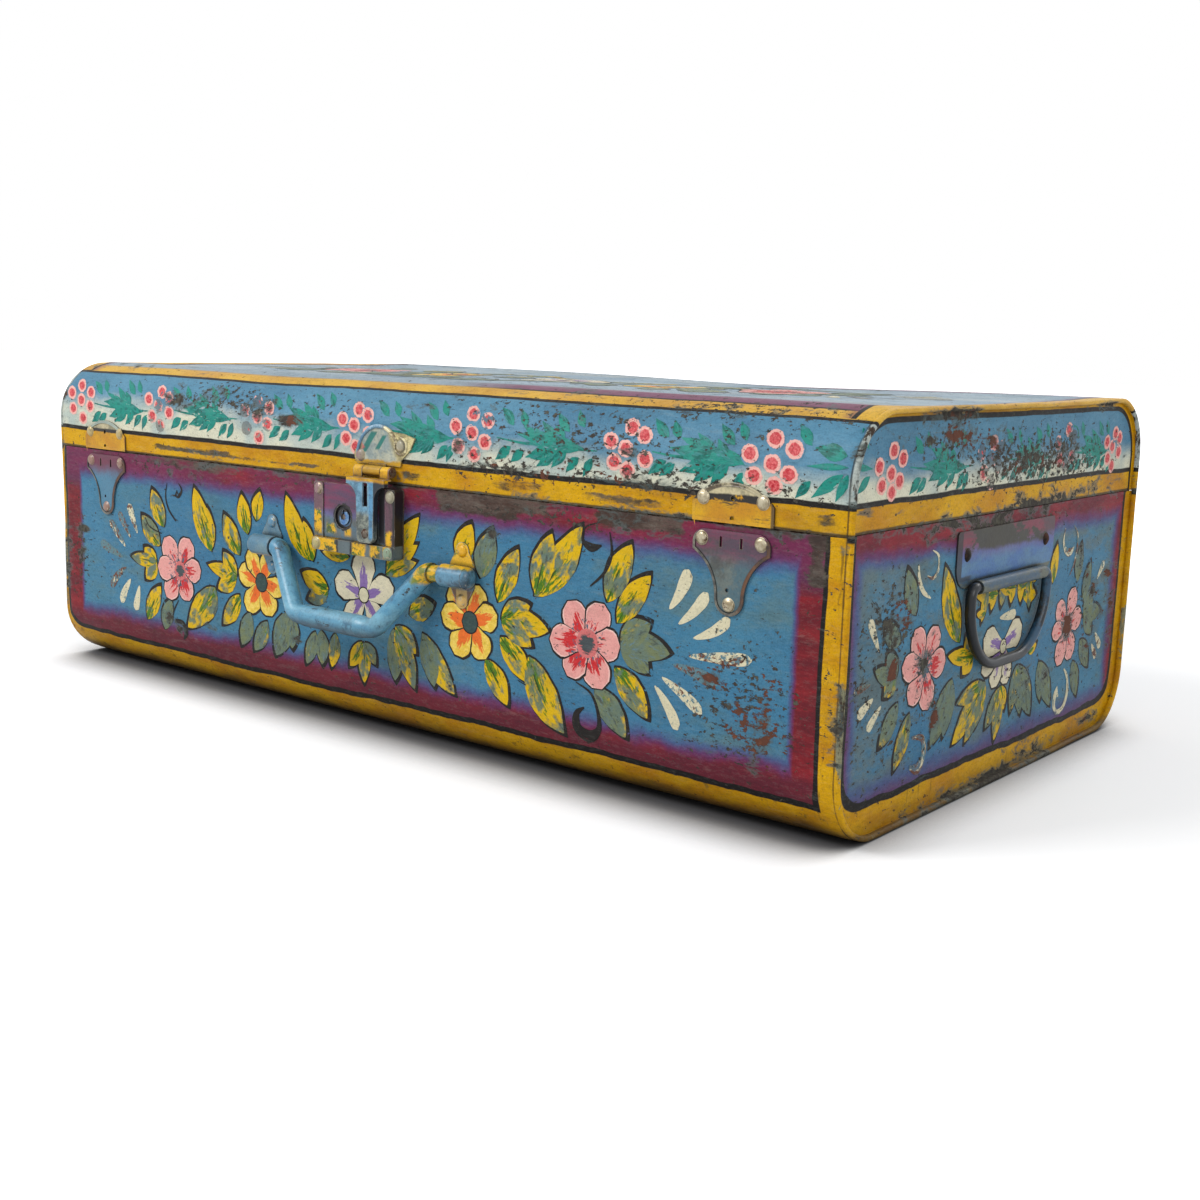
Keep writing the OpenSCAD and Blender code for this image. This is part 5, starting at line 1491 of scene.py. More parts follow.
def plate_paint(name, tone_of, rim, bare, tint=srgb(116, 108, 94), shine=0.4, gloss=0.36):
    """Painted steel fitting: bright or brown where its edges rub, dark in its corners as painted shade and
    grime.
    """
    f = Finish(name)
    x, y, z = f.axes()
    colour = tone_of(f, x, y, z)
    fine = f.noise(260, 4, 0.65)
    slow = f.noise(60, 5, 0.7)
    edge = f.edges(rim)
    rubbed = f.step(edge * 0.34 + slow + (fine - 0.5) * 0.3, 0.74 - 0.14 * bare, 0.84 - 0.14 * bare)
    scuff = f.step(f.noise(120, 6, 0.72) + edge * 0.12, 0.74 - 0.05 * bare, 0.78 - 0.05 * bare)
    steel = f.mottled(tint, srgb(74, 60, 48), 0.42, 0.62, 95, 4, 0.6)
    steel = f.mix(f.step(fine, 0.56, 0.72), steel, tuple(min(1, c * 1.9) for c in tint[:3]) + (1,))
    colour = f.mix(f.step(f.noise(30, 4, 0.7), 0.45, 0.75), colour, srgb(56, 60, 62), 0.35)
    colour = f.mix(f.step(f.noise(700, 2), 0.45, 0.75), colour, srgb(20, 22, 26), 0.25)
    bared = f.high(rubbed, scuff)
    colour = f.mix(bared, colour, steel)
    # Darker where ambient occlusion finds corners and nearby pieces: painted shade, with grime.
    crevice_shade_and_grime = f.step(f.openness(0.006) + (fine - 0.5) * 0.3, 0.78, 0.40)
    colour = f.mix(crevice_shade_and_grime, colour, srgb(24, 21, 20), 0.85)
    roughness = f.noise(180, 3) * 0.16 + crevice_shade_and_grime * 0.25 + (gloss - 0.06)
    height = f.noise(500, 3) * 0.25 + bared * -0.6
    return f.finish(colour, roughness, height, 0.00022, bared * 0.55, shine)


def left_catch(f, x):
    """1 on the catch plates at the left of the front."""
    return f.step(x, -200, -210)


# What is painted on each fitting, from its place on the trunk
def catch_low_tone(f, x, y, z):
    wave = f.sway(10, 60, 4, 0.7)
    top = f.step(z + wave, 154, 167)
    colour = f.mottled(srgb(70, 98, 108), srgb(98, 108, 104), 0.40, 0.60, 90, 5, 0.7)
    plum = f.mottled(srgb(112, 54, 78), srgb(78, 62, 76), 0.42, 0.60, 50, 5, 0.7, (0.5, 1, 1.6))
    colour = f.mix(top, colour, plum)
    colour = f.mix(f.step(f.noise(36, 5, 0.7), 0.52, 0.66), colour, srgb(66, 66, 62), 0.7)
    over = f.mix(f.step(z + wave, 156, 170), BLUE, srgb(104, 44, 66))
    return f.mix(left_catch(f, x), colour, over, 0.8)


def catch_up_tone(f, x, y, z):
    wave = f.sway(3, 50, 4, 0.7)
    left = left_catch(f, x)
    line = f.step(z + wave + left * -1.6, 192.8, 193.6) * f.step(f.noise(48, 4, 0.7), 0.36, 0.42)
    gold = f.mottled(YELLOW, YELLOW_DEEP, 0.4, 0.65, 40, 4)
    gold = f.mottled(gold, srgb(84, 66, 34), 0.57, 0.66, 70, 5, 0.72, (0.4, 1, 2))
    colour = f.mix(line, gold, srgb(32, 29, 26))
    cream = f.mottled(srgb(196, 184, 146), srgb(140, 134, 108), 0.42, 0.6, 80, 5, 0.7)
    colour = f.mix(f.step(z + wave, 197, 198.2), colour, cream)
    # The right edge of each plate is painted dark: painted shade along its edge.
    right = f.high(f.step(x + wave * 0.4, 328.2, 329.4), f.step(x, -286, -285) * left)
    return f.mix(right, colour, srgb(46, 38, 28), 0.85)


def catch_low_rim_tone(f, x, y, z):
    """Rusty on the right of each plate, dark and scratched on the left."""
    right = f.high(f.step(x, 305, 313), f.step(x, -311, -303) * left_catch(f, x))
    brown = f.mottled(srgb(104, 68, 42), srgb(62, 46, 38), 0.42, 0.62, 95, 5, 0.7)
    grey = f.mottled(srgb(66, 66, 64), srgb(126, 122, 108), 0.42, 0.60, 110, 5, 0.7)
    colour = f.mix(right, grey, brown)
    return f.mix(f.step(z, 172.5, 174.5), colour, catch_low_tone(f, x, y, z))


def catch_up_rim_tone(f, x, y, z):
    worn_arch = f.mottled(srgb(178, 168, 134), srgb(78, 66, 48), 0.40, 0.58, 100, 5, 0.7)
    worn_arch = f.mix(left_catch(f, x), worn_arch, srgb(156, 172, 162), 0.8)
    return f.mix(f.step(z, 195.5, 197.5), catch_up_tone(f, x, y, z), worn_arch)


def yellow_leaf(f, size=150):
    return f.mottled(srgb(222, 170, 4), srgb(84, 112, 26), 0.50, 0.58, size, 4, 0.7)


def lock_tone(f, x, y, z):
    wave = f.sway(9, 70, 4, 0.7)
    small = f.sway(5, 150, 4, 0.7)
    plum = f.mottled(srgb(122, 50, 84), srgb(88, 60, 88), 0.42, 0.58, 42, 5, 0.7, (0.4, 1, 2.4))
    colour = f.mottled(srgb(84, 112, 128), srgb(98, 104, 102), 0.40, 0.62, 90, 5, 0.7)
    colour = f.mix(f.step(z + wave, 151, 157), colour, srgb(98, 92, 138))
    colour = f.mix(f.step(z + wave, 155, 162), colour, plum)
    # Raised bands: brown and plum on the left, darker on the right
    left = f.step(x, -36.2, -37.2)
    right = f.step(x, 26, 27)
    dark = f.mottled(srgb(96, 66, 78), srgb(58, 46, 50), 0.42, 0.58, 60, 5, 0.7, (1.6, 1, 0.5))
    colour = f.mix(right, colour, dark)
    colour = f.mix(
        left * f.step(z + wave, 156, 160), colour, f.mix(f.noise(80, 4), srgb(124, 92, 100), srgb(94, 66, 76))
    )
    # The right band's outer edge is painted near black, as painted shade where it turns away.
    colour = f.mix(f.step(x + small * 0.3, 33.4, 34.4), colour, srgb(30, 26, 28))
    # What was painted across the lock: leaves at its foot
    leaf = f.high(
        f.step(x + small, -37, -39) * f.within(z + small, 141, 158),
        f.within(x + small, -33.5, -24) * f.within(z + small, 142.5, 149),
        f.within(x + small, -15, -8.5) * f.within(z + small, 141.5, 146.5),
        f.within(x + small, 27, 33) * f.within(z + wave, 131, 149),
    )
    ledge = f.step(z, 139.4, 138.8)
    on_ledge = f.high(f.within(x + small, -46, -19), f.within(x + small, -4.5, 9), f.within(x + small, 14, 24))
    rim = f.high(f.within(x + small, -20.6, -18.4, 0.6), f.within(x + small, -6.4, -4.4, 0.6))
    colour = f.mix(ledge, colour, f.mix(f.noise(90, 4), srgb(98, 112, 116), srgb(78, 90, 92)))
    leaves = f.mix(f.step(f.noise(75, 5, 0.72), 0.50, 0.58), yellow_leaf(f), srgb(66, 66, 40), 0.85)
    colour = f.mix(f.high(leaf, ledge * on_ledge), colour, leaves)
    colour = f.mix(ledge * rim, colour, srgb(34, 34, 32))
    # Near black round the keyhole's opening: painted shadow in the hole.
    dx, dz = x + 16.6, z - 154.5
    keyhole_shadow_reach = f.reach(dx, dz) + f.sway(7, 110, 4, 0.7)
    colour = f.mix(f.step(keyhole_shadow_reach, 10.2, 9.6) * f.step(z, 138.5, 141), colour, srgb(22, 22, 26))
    # Painted shadow in the deep gap beside the strap
    strap_gap_shadow = f.within(x + small * 0.3, 19.6, 25.6, 0.9) * f.step(z, 138.5, 141)
    return f.mix(strap_gap_shadow, colour, srgb(22, 20, 24))


def plug_tone(f, x, y, z):
    dx, dz = x + 15.4, z - 153.2
    away = f.reach(dx, dz)
    away = away + f.sway(2.4, 160, 3)
    colour = f.mottled(srgb(52, 108, 176), srgb(126, 168, 202), 0.40, 0.60, 210, 4, 0.7)
    # Near black in the key slot and round the plug's rim: painted shadow in the recesses.
    key_slot_shadow = f.within(x + (z - 154) * 0.5, -19.6, -16.4, 0.5) * f.within(z, 152.5, 158, 0.6)
    return f.mix(f.high(f.step(away, 4.9, 5.5), key_slot_shadow), colour, srgb(20, 22, 26))


def hasp_tone(f, x, y, z):
    wave = f.sway(8, 90, 4, 0.7)
    colour = f.mottled(srgb(112, 158, 182), srgb(82, 122, 146), 0.42, 0.60, 120, 5, 0.7)
    rough = f.mottled(srgb(136, 142, 130), srgb(82, 90, 86), 0.42, 0.58, 230, 5, 0.72)
    colour = f.mix(f.step(z + wave, 162, 157), colour, rough)
    colour = f.mix(
        f.within(x + wave * 0.1, 15, 18.6, 0.8) * f.step(z, 141, 144), colour,
        f.mottled(srgb(86, 142, 180), srgb(70, 104, 128), 0.42, 0.60, 90, 4, 0.7)
    )
    # The strap's right flank is painted dark: painted shade of the channel beside it.
    colour = f.mix(f.step(x, 18.9, 19.5), colour, srgb(34, 42, 52))
    gold = f.mottled(srgb(224, 172, 12), srgb(176, 124, 10), 0.42, 0.6, 80, 4)
    colour = f.mix(f.step(z + wave * 0.3, 180.5, 182.5), colour, gold)
    return f.mix(f.step(x, 26.5, 28) * f.step(z, 183, 185), colour, srgb(150, 96, 34))


def hasp_plate_tone(f, x, y, z):
    wave = f.sway(6, 70, 4, 0.7)
    colour = f.mottled(srgb(184, 186, 166), srgb(140, 154, 152), 0.40, 0.58, 75, 5, 0.72)
    # The same teal strokes as on the lid run over it
    slant = x + (z - 208) * -0.75
    strokes = f.high(
        f.within(slant + wave * 0.3, -0.6, 5.2, 0.7) * f.within(z, 200.5, 215, 1),
        f.within(slant, 12, 16.2, 0.7) * f.within(z, 203, 213, 1)
    )
    colour = f.mix(strokes, colour, f.mix(f.noise(90, 4), srgb(14, 104, 94), srgb(48, 126, 118)))
    blush = f.step(abs(z - 204) + abs(x + 7) + wave, 6.6, 4.6)
    colour = f.mix(blush, colour, srgb(206, 104, 100), 0.85)
    cream = f.mottled(srgb(212, 198, 144), srgb(150, 138, 96), 0.42, 0.58, 110, 5, 0.7)
    colour = f.mix(f.step(x + z * 0.4 + wave, 105, 110), colour, cream)
    colour = f.mix(f.step(x + wave * 0.5, -3, -6), colour, cream)
    return f.mix(
        f.step(z + wave, 196.5, 194.5), colour, f.mix(f.noise(60, 3), srgb(216, 168, 14), srgb(172, 126, 20))
    )


def arc_tone(f, x, y, z):
    blue = f.mottled(srgb(158, 192, 210), srgb(96, 140, 170), 0.42, 0.58, 120, 4, 0.7)
    cream = f.mottled(srgb(222, 210, 164), srgb(120, 104, 72), 0.42, 0.56, 140, 5, 0.7)
    return f.mix(f.step(x + f.noise(60) * 8, 18, 24), blue, cream)


def bracket_tone(f, x, y, z):
    wave = f.sway(8, 80, 4, 0.7)
    colour = f.mottled(srgb(78, 122, 146), srgb(104, 136, 148), 0.40, 0.60, 90, 5, 0.7)
    right = f.step(x, 40, 50)
    barrel = f.mottled(srgb(92, 140, 166), srgb(48, 78, 98), 0.42, 0.60, 70, 5, 0.7)
    colour = f.mix(right * f.step(y, -218.5, -219.5), colour, barrel)
    leaf = right * f.step(z + wave * 0.5, 130.5, 132.5)
    petal = f.mix(f.step(abs(x - 92) + wave * 0.2, 4.2, 5.6), srgb(214, 176, 92), srgb(112, 74, 40))
    colour = f.mix(right * (f.step(z, 117.5, 115) * f.step(y, -219.5, -218.5)), colour, petal)
    return f.mix(
        leaf, colour, f.mottled(srgb(226, 178, 12), srgb(120, 122, 40), 0.55, 0.62, 120, 4, 0.7, (0.5, 1, 1))
    )


def bail_tone(f, x, y, z):
    streak = f.noise(70, 5, 0.7, (0.35, 1.4, 1))
    colour = f.mix(f.step(streak, 0.38, 0.62), srgb(74, 134, 166), srgb(100, 156, 180))
    colour = f.mottled(colour, srgb(60, 104, 128), 0.53, 0.64, 48, 5, 0.7)
    # Darker below the grip's middle: painted shade under the grip, with scuffs.
    under = f.step(z + f.sway(6, 60, 4, 0.7), 86, 79)
    colour = f.mix(under, colour, srgb(42, 68, 82), 0.75)
    # Lighter streaks along the top of the grip: a painted highlight.
    painted_top_highlight = f.within(z, 87, 96, 2) * f.step(f.noise(52, 5, 0.7, (0.3, 1.4, 1)), 0.36, 0.56)
    colour = f.mix(painted_top_highlight, colour, srgb(132, 182, 200), 0.5)
    # The right elbow was painted over with the leaf behind it
    wave = f.sway(12, 80, 4, 0.7)
    leaf = f.step(x + wave, 58, 63) * f.step(z + wave * 0.5, 116, 120)
    colour = f.mix(
        leaf, colour, f.mottled(srgb(214, 168, 14), srgb(112, 122, 44), 0.47, 0.56, 100, 4, 0.7, (0.5, 1, 1))
    )
    return f.mottled(colour, srgb(50, 60, 64), 0.62, 0.66, 160, 5, 0.7, (0.5, 1, 1))


def ring_plate_tone(f, x, y, z):
    wave = f.sway(9, 50, 4, 0.7)
    colour = f.mottled(srgb(62, 104, 160), srgb(80, 122, 156), 0.40, 0.60, 40, 5, 0.7, (1, 0.5, 1.5))
    colour = f.mix(f.step(z + wave, 150, 160), colour, srgb(98, 84, 134), 0.8)
    top = f.step(z + wave, 157, 165)
    plum = f.mottled(srgb(120, 48, 66), srgb(82, 60, 68), 0.40, 0.58, 40, 5, 0.7, (1, 0.5, 1.8))
    colour = f.mix(top, colour, plum)
    bare = f.step(
        f.noise(26, 5, 0.72, (1, 0.6, 1.4)) + f.within(y, -48, 22, 12) * 0.10, 0.52, 0.58
    ) * f.step(z + wave, 156, 160)
    colour = f.mix(bare, colour, f.mix(f.noise(120, 4), srgb(62, 62, 52), srgb(44, 38, 32)))
    roll = f.mottled(srgb(92, 98, 86), srgb(56, 82, 102), 0.44, 0.56, 45, 5, 0.72, (1, 0.5, 2))
    roll = f.mottled(roll, srgb(58, 48, 40), 0.58, 0.66, 60, 5, 0.72, (1, 0.4, 2))
    # Dark along the left edge and lower corner: paint chips, and painted shade.
    chips_and_edge_shade = f.high(f.step(y, -71.4, -72.8), f.step(y, -54, -62) * f.step(z + wave * 0.2, 144.6, 143))
    colour = f.mix(chips_and_edge_shade, colour, srgb(32, 35, 38), 0.85)
    return f.mix(f.step(z + wave * 0.3, 141.6, 140.4), colour, roll)


def rod_tone(f, x, y, z):
    """Nearly black rod, with a painted blue reflection on the inside of its bend."""
    blue = f.step(y, 12, 34) * f.step(f.noise(50, 4, 0.7), 0.42, 0.56)
    colour = f.mix(f.noise(90, 4), srgb(18, 21, 25), srgb(36, 41, 47))
    return f.mix(blue, colour, srgb(46, 84, 112), 0.8)


def rivet_tone(f, x, y, z):
    colour = f.mix(f.noise(200, 3), srgb(206, 198, 176), srgb(164, 152, 126))
    left = f.step(x, -200, -220)
    colour = f.mix(left, colour, f.mix(f.step(z, 184, 188), srgb(142, 112, 98), srgb(178, 158, 104)))
    near_lock = f.within(x, -60, 60)
    low = f.mix(f.step(x, -10, 0), srgb(168, 156, 98), srgb(118, 142, 118))
    high_up = f.mix(f.step(x, -10, 0), srgb(128, 92, 100), srgb(150, 144, 122))
    colour = f.mix(near_lock, colour, f.mix(f.step(z, 150, 160), low, high_up), 0.9)
    grip = f.high(f.within(x, -110, -70), f.within(x, 70, 110))
    colour = f.mix(grip, colour, srgb(84, 132, 160))
    return f.mix(
        f.within(x, 70, 110), colour, f.mix(f.step(z, 118, 124), srgb(206, 168, 92), srgb(214, 162, 16))
    )


def rivet_metal(name):
    """Rivet heads: bright steel on the right catch, painted over elsewhere."""
    f = Finish(name)
    x, y, z = f.axes()
    colour = rivet_tone(f, x, y, z)
    bare = f.step(f.noise(170, 5, 0.7), 0.52, 0.60)
    shiny = f.high(f.step(x, 255, 262), bare * 0.75)
    colour = f.mix(shiny, colour, f.mottled(srgb(192, 182, 156), srgb(142, 128, 100), 0.38, 0.66, 190, 3, 0.6))
    brown = f.step(f.noise(240, 5, 0.72), 0.60, 0.66)
    colour = f.mix(brown, colour, srgb(84, 60, 44))
    # Darker where ambient occlusion finds corners round the head: painted shade, with grime.
    crevice_shade_and_grime = f.step(f.openness(0.003) + f.sway(0.3, 260, 4), 0.80, 0.45)
    colour = f.mix(crevice_shade_and_grime, colour, srgb(30, 26, 24), 0.9)
    roughness = f.noise(300, 3) * 0.14 + (crevice_shade_and_grime * 0.3 + 0.26)
    height = f.noise(500, 3) * 0.3 + brown * -0.5
    return f.finish(colour, roughness, height, 0.00010, shiny * 0.6, 0.5)


dull_steel = bare_steel("dull steel", srgb(120, 112, 102), 0.42, 0.35)
brown_rivets = bare_steel("browned rivet steel", srgb(40, 36, 34), 0.5, 0.4)
dark_rod = plate_paint("dark rod enamel", rod_tone, 0.0012, 0.10, srgb(84, 88, 90), 0.4, 0.30)
dull_brass = bare_steel("dulled brass", srgb(176, 146, 88), 0.35, 0.1)
rim_rust = plate_paint("lower catch rim", catch_low_rim_tone, 0.0007, 0.5, srgb(138, 128, 112), 0.5, 0.32)
rim_cream = plate_paint("upper catch rim", catch_up_rim_tone, 0.0007, 0.45, srgb(158, 150, 132), 0.5, 0.32)
arc_paint = plate_paint("hasp plate rim", arc_tone, 0.0007, 0.35, srgb(168, 164, 150), 0.5, 0.28)
rivet_steel = rivet_metal("rubbed rivet")

recolour(rivet_steel, *(kind + "_rivets" for kind in ("catch_lower", "catch_upper", "lock", "hasp", "handle")))
recolour(rivet_steel, "hinge_rivets_body", "hinge_rivets_lid")
recolour(brown_rivets, "ring_rivets")
recolour(dull_steel, "hasp_pin", "hasp_staple", "lock_base", "body_rim")
for word in ("left", "right"):
    recolour(dull_steel, "hinge_leaf_body_" + word, "hinge_leaf_lid_" + word, "hinge_pin_" + word)
    recolour(dark_rod, "side_ring_" + word)
recolour(dull_brass, "lock_bolt")
bracket_blue = plate_paint("bracket finish", bracket_tone, 0.0014, 0.35, srgb(140, 146, 146), 0.5, 0.28)
recolour(bracket_blue, "handle_bracket_left", "handle_bracket_right")
# Name, tone, softness of the edge, how bare, bare metal's colour, shine, roughness; then the nodes
for material, *nodes in (
    (plate_paint("lower catch finish", catch_low_tone, 0.0012, 0.55), "catch_lower_left", "catch_lower_right"),
    (plate_paint("upper catch finish", catch_up_tone, 0.0012, 0.3), "catch_upper_left", "catch_upper_right"),
    (plate_paint("lock case finish", lock_tone, 0.0013, 0.45, srgb(132, 128, 120)), "lock_case"),
    (plate_paint("key plug finish", plug_tone, 0.0006, 0.2, srgb(132, 140, 150)), "lock_plug"),
    (plate_paint("hasp strap finish", hasp_tone, 0.0011, 0.45, srgb(140, 146, 146)), "hasp_strap"),
    (plate_paint("hasp plate finish", hasp_plate_tone, 0.0012, 0.12, srgb(140, 132, 110)), "hasp_plate"),
    (plate_paint("bail enamel", bail_tone, 0.0015, 0.15, srgb(92, 100, 100), 0.45, 0.34), "bail_handle"),
    (
        plate_paint("ring plate finish", ring_plate_tone, 0.0010, 0.3, srgb(86, 84, 76), 0.28),
        "ring_plate_left", "ring_plate_right",
    ),
):
    recolour(material, *nodes)


# Smooth rivet heads over the plain ones, and pressed rims on the catch plates
AHEAD = Vector((0, -1, 0))


def rivet_places(name, out):
    """Centre, radius and height of each rivet's outer head."""
    points = [v.co.copy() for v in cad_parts[name].data.vertices]
    groups = []
    for q in points:
        for g in groups:
            if (g[0] - q).length < 0.009:
                g.append(q)
                break
        else:
            groups.append([q])
    found = []
    for g in groups:
        high = max(q.dot(out) for q in g)
        head = [q for q in g if q.dot(out) > high - 0.0014]
        mid = sum(head, Vector()) / len(head)
        wide = max((q - mid - out * (q - mid).dot(out)).length for q in head)
        found.append((mid - out * (mid.dot(out) - high), wide))
    return found


def head_pattern():
    """A domed rivet head, modelled once and copied."""
    dome = add_shape(
        bpy.ops.mesh.primitive_uv_sphere_add, "dome", segments=20, ring_count=12, radius=1, location=(0, 0, 0)
    )
    mode("EDIT")
    cut_at((0, 0, 0), (0, 0, 1), clear_inner=True)
    pick(dome, "edges", lambda e: e.is_boundary)
    bpy.ops.mesh.extrude_edges_move(TRANSFORM_OT_translate={"value": (0, 0, -0.35)})
    bpy.ops.mesh.edge_face_add()
    mode("OBJECT")
    return dome


def cover_rivets(kind, body, pattern):
    """Lays a slightly tilted, uneven dome over each rivet of one kind."""
    heads = []
    to_out = AHEAD.to_track_quat("Z", "Y").to_matrix()
    for k, (top, wide) in enumerate(rivet_places(kind + "_rivets", AHEAD)):
        one = bpy.data.objects.new("head", pattern.data.copy())
        scene.collection.objects.link(one)
        r = wide * 1.04
        tall = r * 0.42
        lean = Matrix.Rotation(
            0.10 * math.sin(k * 2.3), 3, "X"
        ) @ Matrix.Rotation(0.08 * math.cos(k * 3.1), 3, "Y")
        for v in one.data.vertices:
            q = v.co.copy()
            dimple = 1 - 0.10 * max(0, noise.noise(q * 1.9 + Vector((k, 0, 0))))
            v.co = top + to_out @ (
                lean @ Vector((q.x * r, q.y * r, q.z * tall * dimple)) + Vector((0, 0, 0.00012 - tall))
            )
        heads.append(one)
    only(*heads)
    bpy.ops.object.join()
    piece = bpy.context.object
    piece.name = kind + "_heads"
    bpy.ops.object.shade_smooth_by_angle(angle=math.radians(60))
    dress(piece, rivet_steel, body, "rivet_steel")


dome = head_pattern()
for kind, body in (
    ("catch_lower", "body"), ("catch_upper", "lid"), ("lock", "body"), ("handle", "body"), ("hasp", "lid")
):
    cover_rivets(kind, body, dome)
bpy.data.objects.remove(dome)


RIM_POINTS = 96


def plate_outline(name, out):
    """The outer edge of a flat plate's face, as points at even steps."""
    b = bmesh.new()
    b.from_mesh(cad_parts[name].data)
    bmesh.ops.remove_doubles(b, verts=b.verts, dist=0.00002)
    high = max(v.co.dot(out) for v in b.verts)
    face = [g for g in b.faces if g.normal.dot(out) > 0.98 and g.calc_center_median().dot(out) > high - 0.0004]
    inside = set(face)
    follow = {}
    for g in face:
        for loop in g.loops:
            if sum(1 for h in loop.edge.link_faces if h in inside) == 1:
                follow[loop.vert.index] = loop.link_loop_next.vert.index
    b.verts.ensure_lookup_table()
    best = []
    while follow:
        start, here = next(iter(follow.items()))
        chain = [start]
        while here in follow and here != start:
            chain.append(here)
            here = follow.pop(here)
        follow.pop(start, None)
        if len(chain) > len(best):
            best = chain
    points = [b.verts[i].co.copy() for i in best]
    b.free()
    length = [0]
    for i in range(len(points)):
        length.append(length[-1] + (points[(i + 1) % len(points)] - points[i]).length)
    even = []
    for k in range(RIM_POINTS):
        at = length[-1] * k / RIM_POINTS
        i = max(j for j in range(len(points)) if length[j] <= at)
        q, r = points[i], points[(i + 1) % len(points)]
        even.append(q.lerp(r, (at - length[i]) / max(1e-9, length[i + 1] - length[i])))
    return even


def pressed_rim(kind, word, body, material, wide, keep):
    """A raised rim along a catch plate's outline; where keep says no, it is worn flat."""
    ring = plate_outline(kind + "_" + word, AHEAD)
    rim = add_shape(
        bpy.ops.mesh.primitive_circle_add, kind + "_rim_" + word, vertices=len(ring), radius=0.03,
        fill_type="NGON"
    )
    for v, q in zip(rim.data.vertices, ring):
        v.co = q
    mode("EDIT")
    face_outwards()
    b = bmesh.from_edit_mesh(rim.data)
    b.faces.ensure_lookup_table()
    b.faces[0].normal_update()
    if b.faces[0].normal.dot(AHEAD) < 0:
        bpy.ops.mesh.flip_normals()
    for part in (0.32, 0.36, 0.32):
        bpy.ops.mesh.inset(thickness=wide * part, depth=0)
    bpy.ops.mesh.delete(type="FACE")
    mode("OBJECT")
    n = len(ring)
    for v in rim.data.vertices:
        row = min(range(4), key=lambda k: abs(k - v.index // n))
        worn_down = 0.7 + 0.5 * noise.noise(v.co * 60)
        lift = (0, 1, 0.9, 0)[row] * 0.0007 * worn_down * (1 if keep(v.co) else 0.05)
        v.co += AHEAD * (lift + 0.00004)
    bpy.ops.object.shade_smooth()
    dress(rim, material, body, kind + "_finish")


for word in ("left", "right"):
    pressed_rim("catch_lower", word, "body", rim_rust, 0.0019, lambda q: q.z < 0.1745)
    pressed_rim("catch_upper", word, "lid", rim_cream, 0.0022, lambda q: q.z > 0.1965)


ARC_Y = -0.2170


def rolled_arc(start, middle, degrees, thick, steps):
    """A raised round edge on a plate: a small circle spun about the plate's own centre."""
    x, z = start
    arc = add_shape(
        bpy.ops.mesh.primitive_circle_add, "arc", vertices=10, radius=thick, location=(0, 0, 0),
        fill_type="NOTHING"
    )
    reach = Vector((x - middle[0], 0, z - middle[1])).normalized()
    for v in arc.data.vertices:
        v.co = Vector((x, ARC_Y, z)) + reach * v.co.x + AHEAD * v.co.y
    mode("EDIT")
    bpy.ops.mesh.select_all(action="SELECT")
    bpy.ops.mesh.spin(
        steps=steps, dupli=False, angle=math.radians(degrees), center=(middle[0], ARC_Y, middle[1]),
        axis=(0, 1, 0)
    )
    bpy.ops.mesh.select_all(action="SELECT")
    bpy.ops.mesh.remove_doubles(threshold=0.00001)
    bpy.ops.mesh.fill_holes(sides=12)
    bpy.ops.mesh.normals_make_consistent(inside=False)
    mode("OBJECT")
    for v in arc.data.vertices:
        v.co.y += 0.00022 * noise.noise(v.co * 160)
    bpy.ops.object.shade_smooth()
    return arc


HASP_DISC = (0.012, 0.198)
EAR_RIVET = (0.0335, 0.2065)
over_disc = rolled_arc((-0.0087, 0.1960), HASP_DISC, -160, 0.0014, 34)
round_rivet = rolled_arc((0.0335, 0.2122), EAR_RIVET, -300, 0.0010, 26)
only(over_disc, round_rivet)
bpy.ops.object.join()
hasp_arc = bpy.context.object
hasp_arc.name = "hasp_plate_rim"
dress(hasp_arc, arc_paint, "lid", "hasp_plate_finish")


BARREL_Y, BARREL_Z = -0.2235, 0.1255


def barrel_cap(name, x, out):
    """Domed end that closes a bracket's barrel: a circle drawn out and narrowed four times."""
    how = {"location": (x, BARREL_Y, BARREL_Z), "rotation": (0, math.radians(90), 0), "fill_type": "NOTHING"}
    cap = add_shape(bpy.ops.mesh.primitive_circle_add, name, vertices=24, radius=0.0074, **how)
    bpy.ops.object.transform_apply(location=True, rotation=True, scale=True)
    mode("EDIT")
    bpy.ops.mesh.select_all(action="SELECT")
    here = x
    for push, shrink in ((0.0012, 0.95), (0.0012, 0.86), (0.0010, 0.72), (0.0006, 0.50)):
        bpy.ops.mesh.extrude_region_move(TRANSFORM_OT_translate={"value": (out * push, 0, 0)})
        here += out * push
        bpy.ops.transform.resize(value=(1, shrink, shrink), center_override=(here, BARREL_Y, BARREL_Z))
    bpy.ops.mesh.edge_face_add()
    bpy.ops.mesh.poke()
    face_outwards()
    mode("OBJECT")
    bpy.ops.object.shade_smooth()
    dress(cap, bracket_blue, "body", "bracket_finish")


barrel_cap("barrel_cap_left", -0.113, -1)
barrel_cap("barrel_cap_right", 0.103, 1)


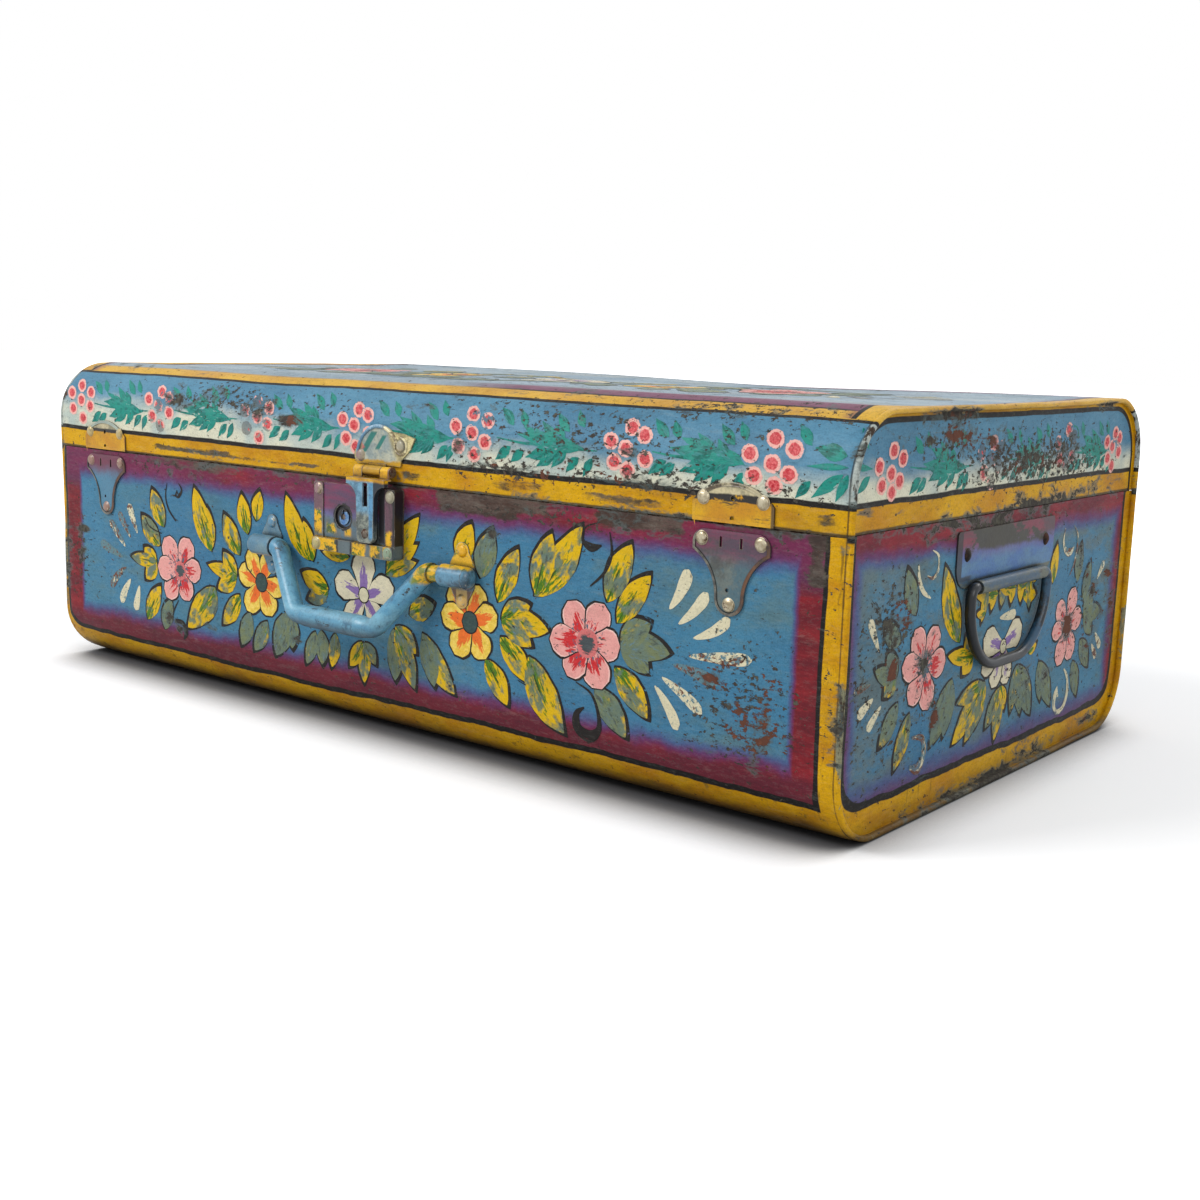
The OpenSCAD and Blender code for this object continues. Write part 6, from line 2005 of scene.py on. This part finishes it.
# Floor, world and lamps
def lamp(name, place, target, size, power):
    data = bpy.data.lights.new(name, "AREA")
    data.shape = "RECTANGLE"
    data.size, data.size_y = size
    data.energy = power
    o = bpy.data.objects.new(name, data)
    scene.collection.objects.link(o)
    o.location = place
    o.rotation_mode = "QUATERNION"
    o.rotation_quaternion = (Vector(target) - Vector(place)).to_track_quat("-Z", "Y")


floor = add_shape(bpy.ops.mesh.primitive_plane_add, "floor", size=24, location=(0, 0, 0))
f = Finish("pale floor")
# Floor colour and glow darken where ambient occlusion finds the trunk near: a painted contact shadow.
out_of_painted_shadow = f.step(f.openness(0.065, 16), 0.28, 0.93)
f.put(f.shader.inputs["Base Color"], f.mix(out_of_painted_shadow, (0.10, 0.10, 0.105, 1), (0.86, 0.86, 0.86, 1)))
f.shader.inputs["Roughness"].default_value = 0.9
f.shader.inputs["Specular IOR Level"].default_value = 0.1
to_camera = f.node("LightPath").outputs["Is Camera Ray"]
away = f.node("VectorMath", f.place)
away.operation = "LENGTH"
far = f.step(away.outputs["Value"], 0.75, 1.25) * to_camera
glow = f.node("Emission")
f.put(glow.inputs[1], f.high(far, 0.27) * out_of_painted_shadow * to_camera)
blend = f.node("AddShader", f.shader.outputs[0], glow.outputs[0])
f.put(f.output.inputs[0], blend.outputs[0])
floor.data.materials.append(f.material)

# Soft daylight all round; the camera and mirror-like paint see plain white
world = bpy.data.worlds.new("studio")
scene.world = world
world.use_nodes = True
tree = world.node_tree
tree.nodes.clear()


def world_node(kind, *values):
    n = tree.nodes.new("ShaderNode" + kind)
    for socket, value in zip(n.inputs, values):
        if isinstance(value, bpy.types.NodeSocket):
            tree.links.new(value, socket)
        else:
            socket.default_value = value
    return n


soft = world_node("Background", (0.95, 0.97, 1, 1), 0.48)
plain = world_node("Background", (1, 1, 1, 1), 1)
seen = world_node("LightPath").outputs
either = world_node("Math", seen["Is Camera Ray"], seen["Is Transmission Ray"])
either.operation = "MAXIMUM"
third = world_node("Math", either.outputs[0], seen["Is Glossy Ray"])
third.operation = "MAXIMUM"
choose = world_node("MixShader", third.outputs[0], soft.outputs[0], plain.outputs[0])
world_node("OutputWorld", choose.outputs[0])

lamp("key", (-1.2, -2, 2.1), (0, 0, 0.1), (1.3, 1), 56)
lamp("side", (2.6, -0.9, 1.5), (0.2, 0, 0.1), (1.4, 1.4), 23)
lamp("back", (0.6, 2.4, 2), (0, 0, 0.2), (2, 1.2), 24)

scene.view_settings.view_transform = "Standard"
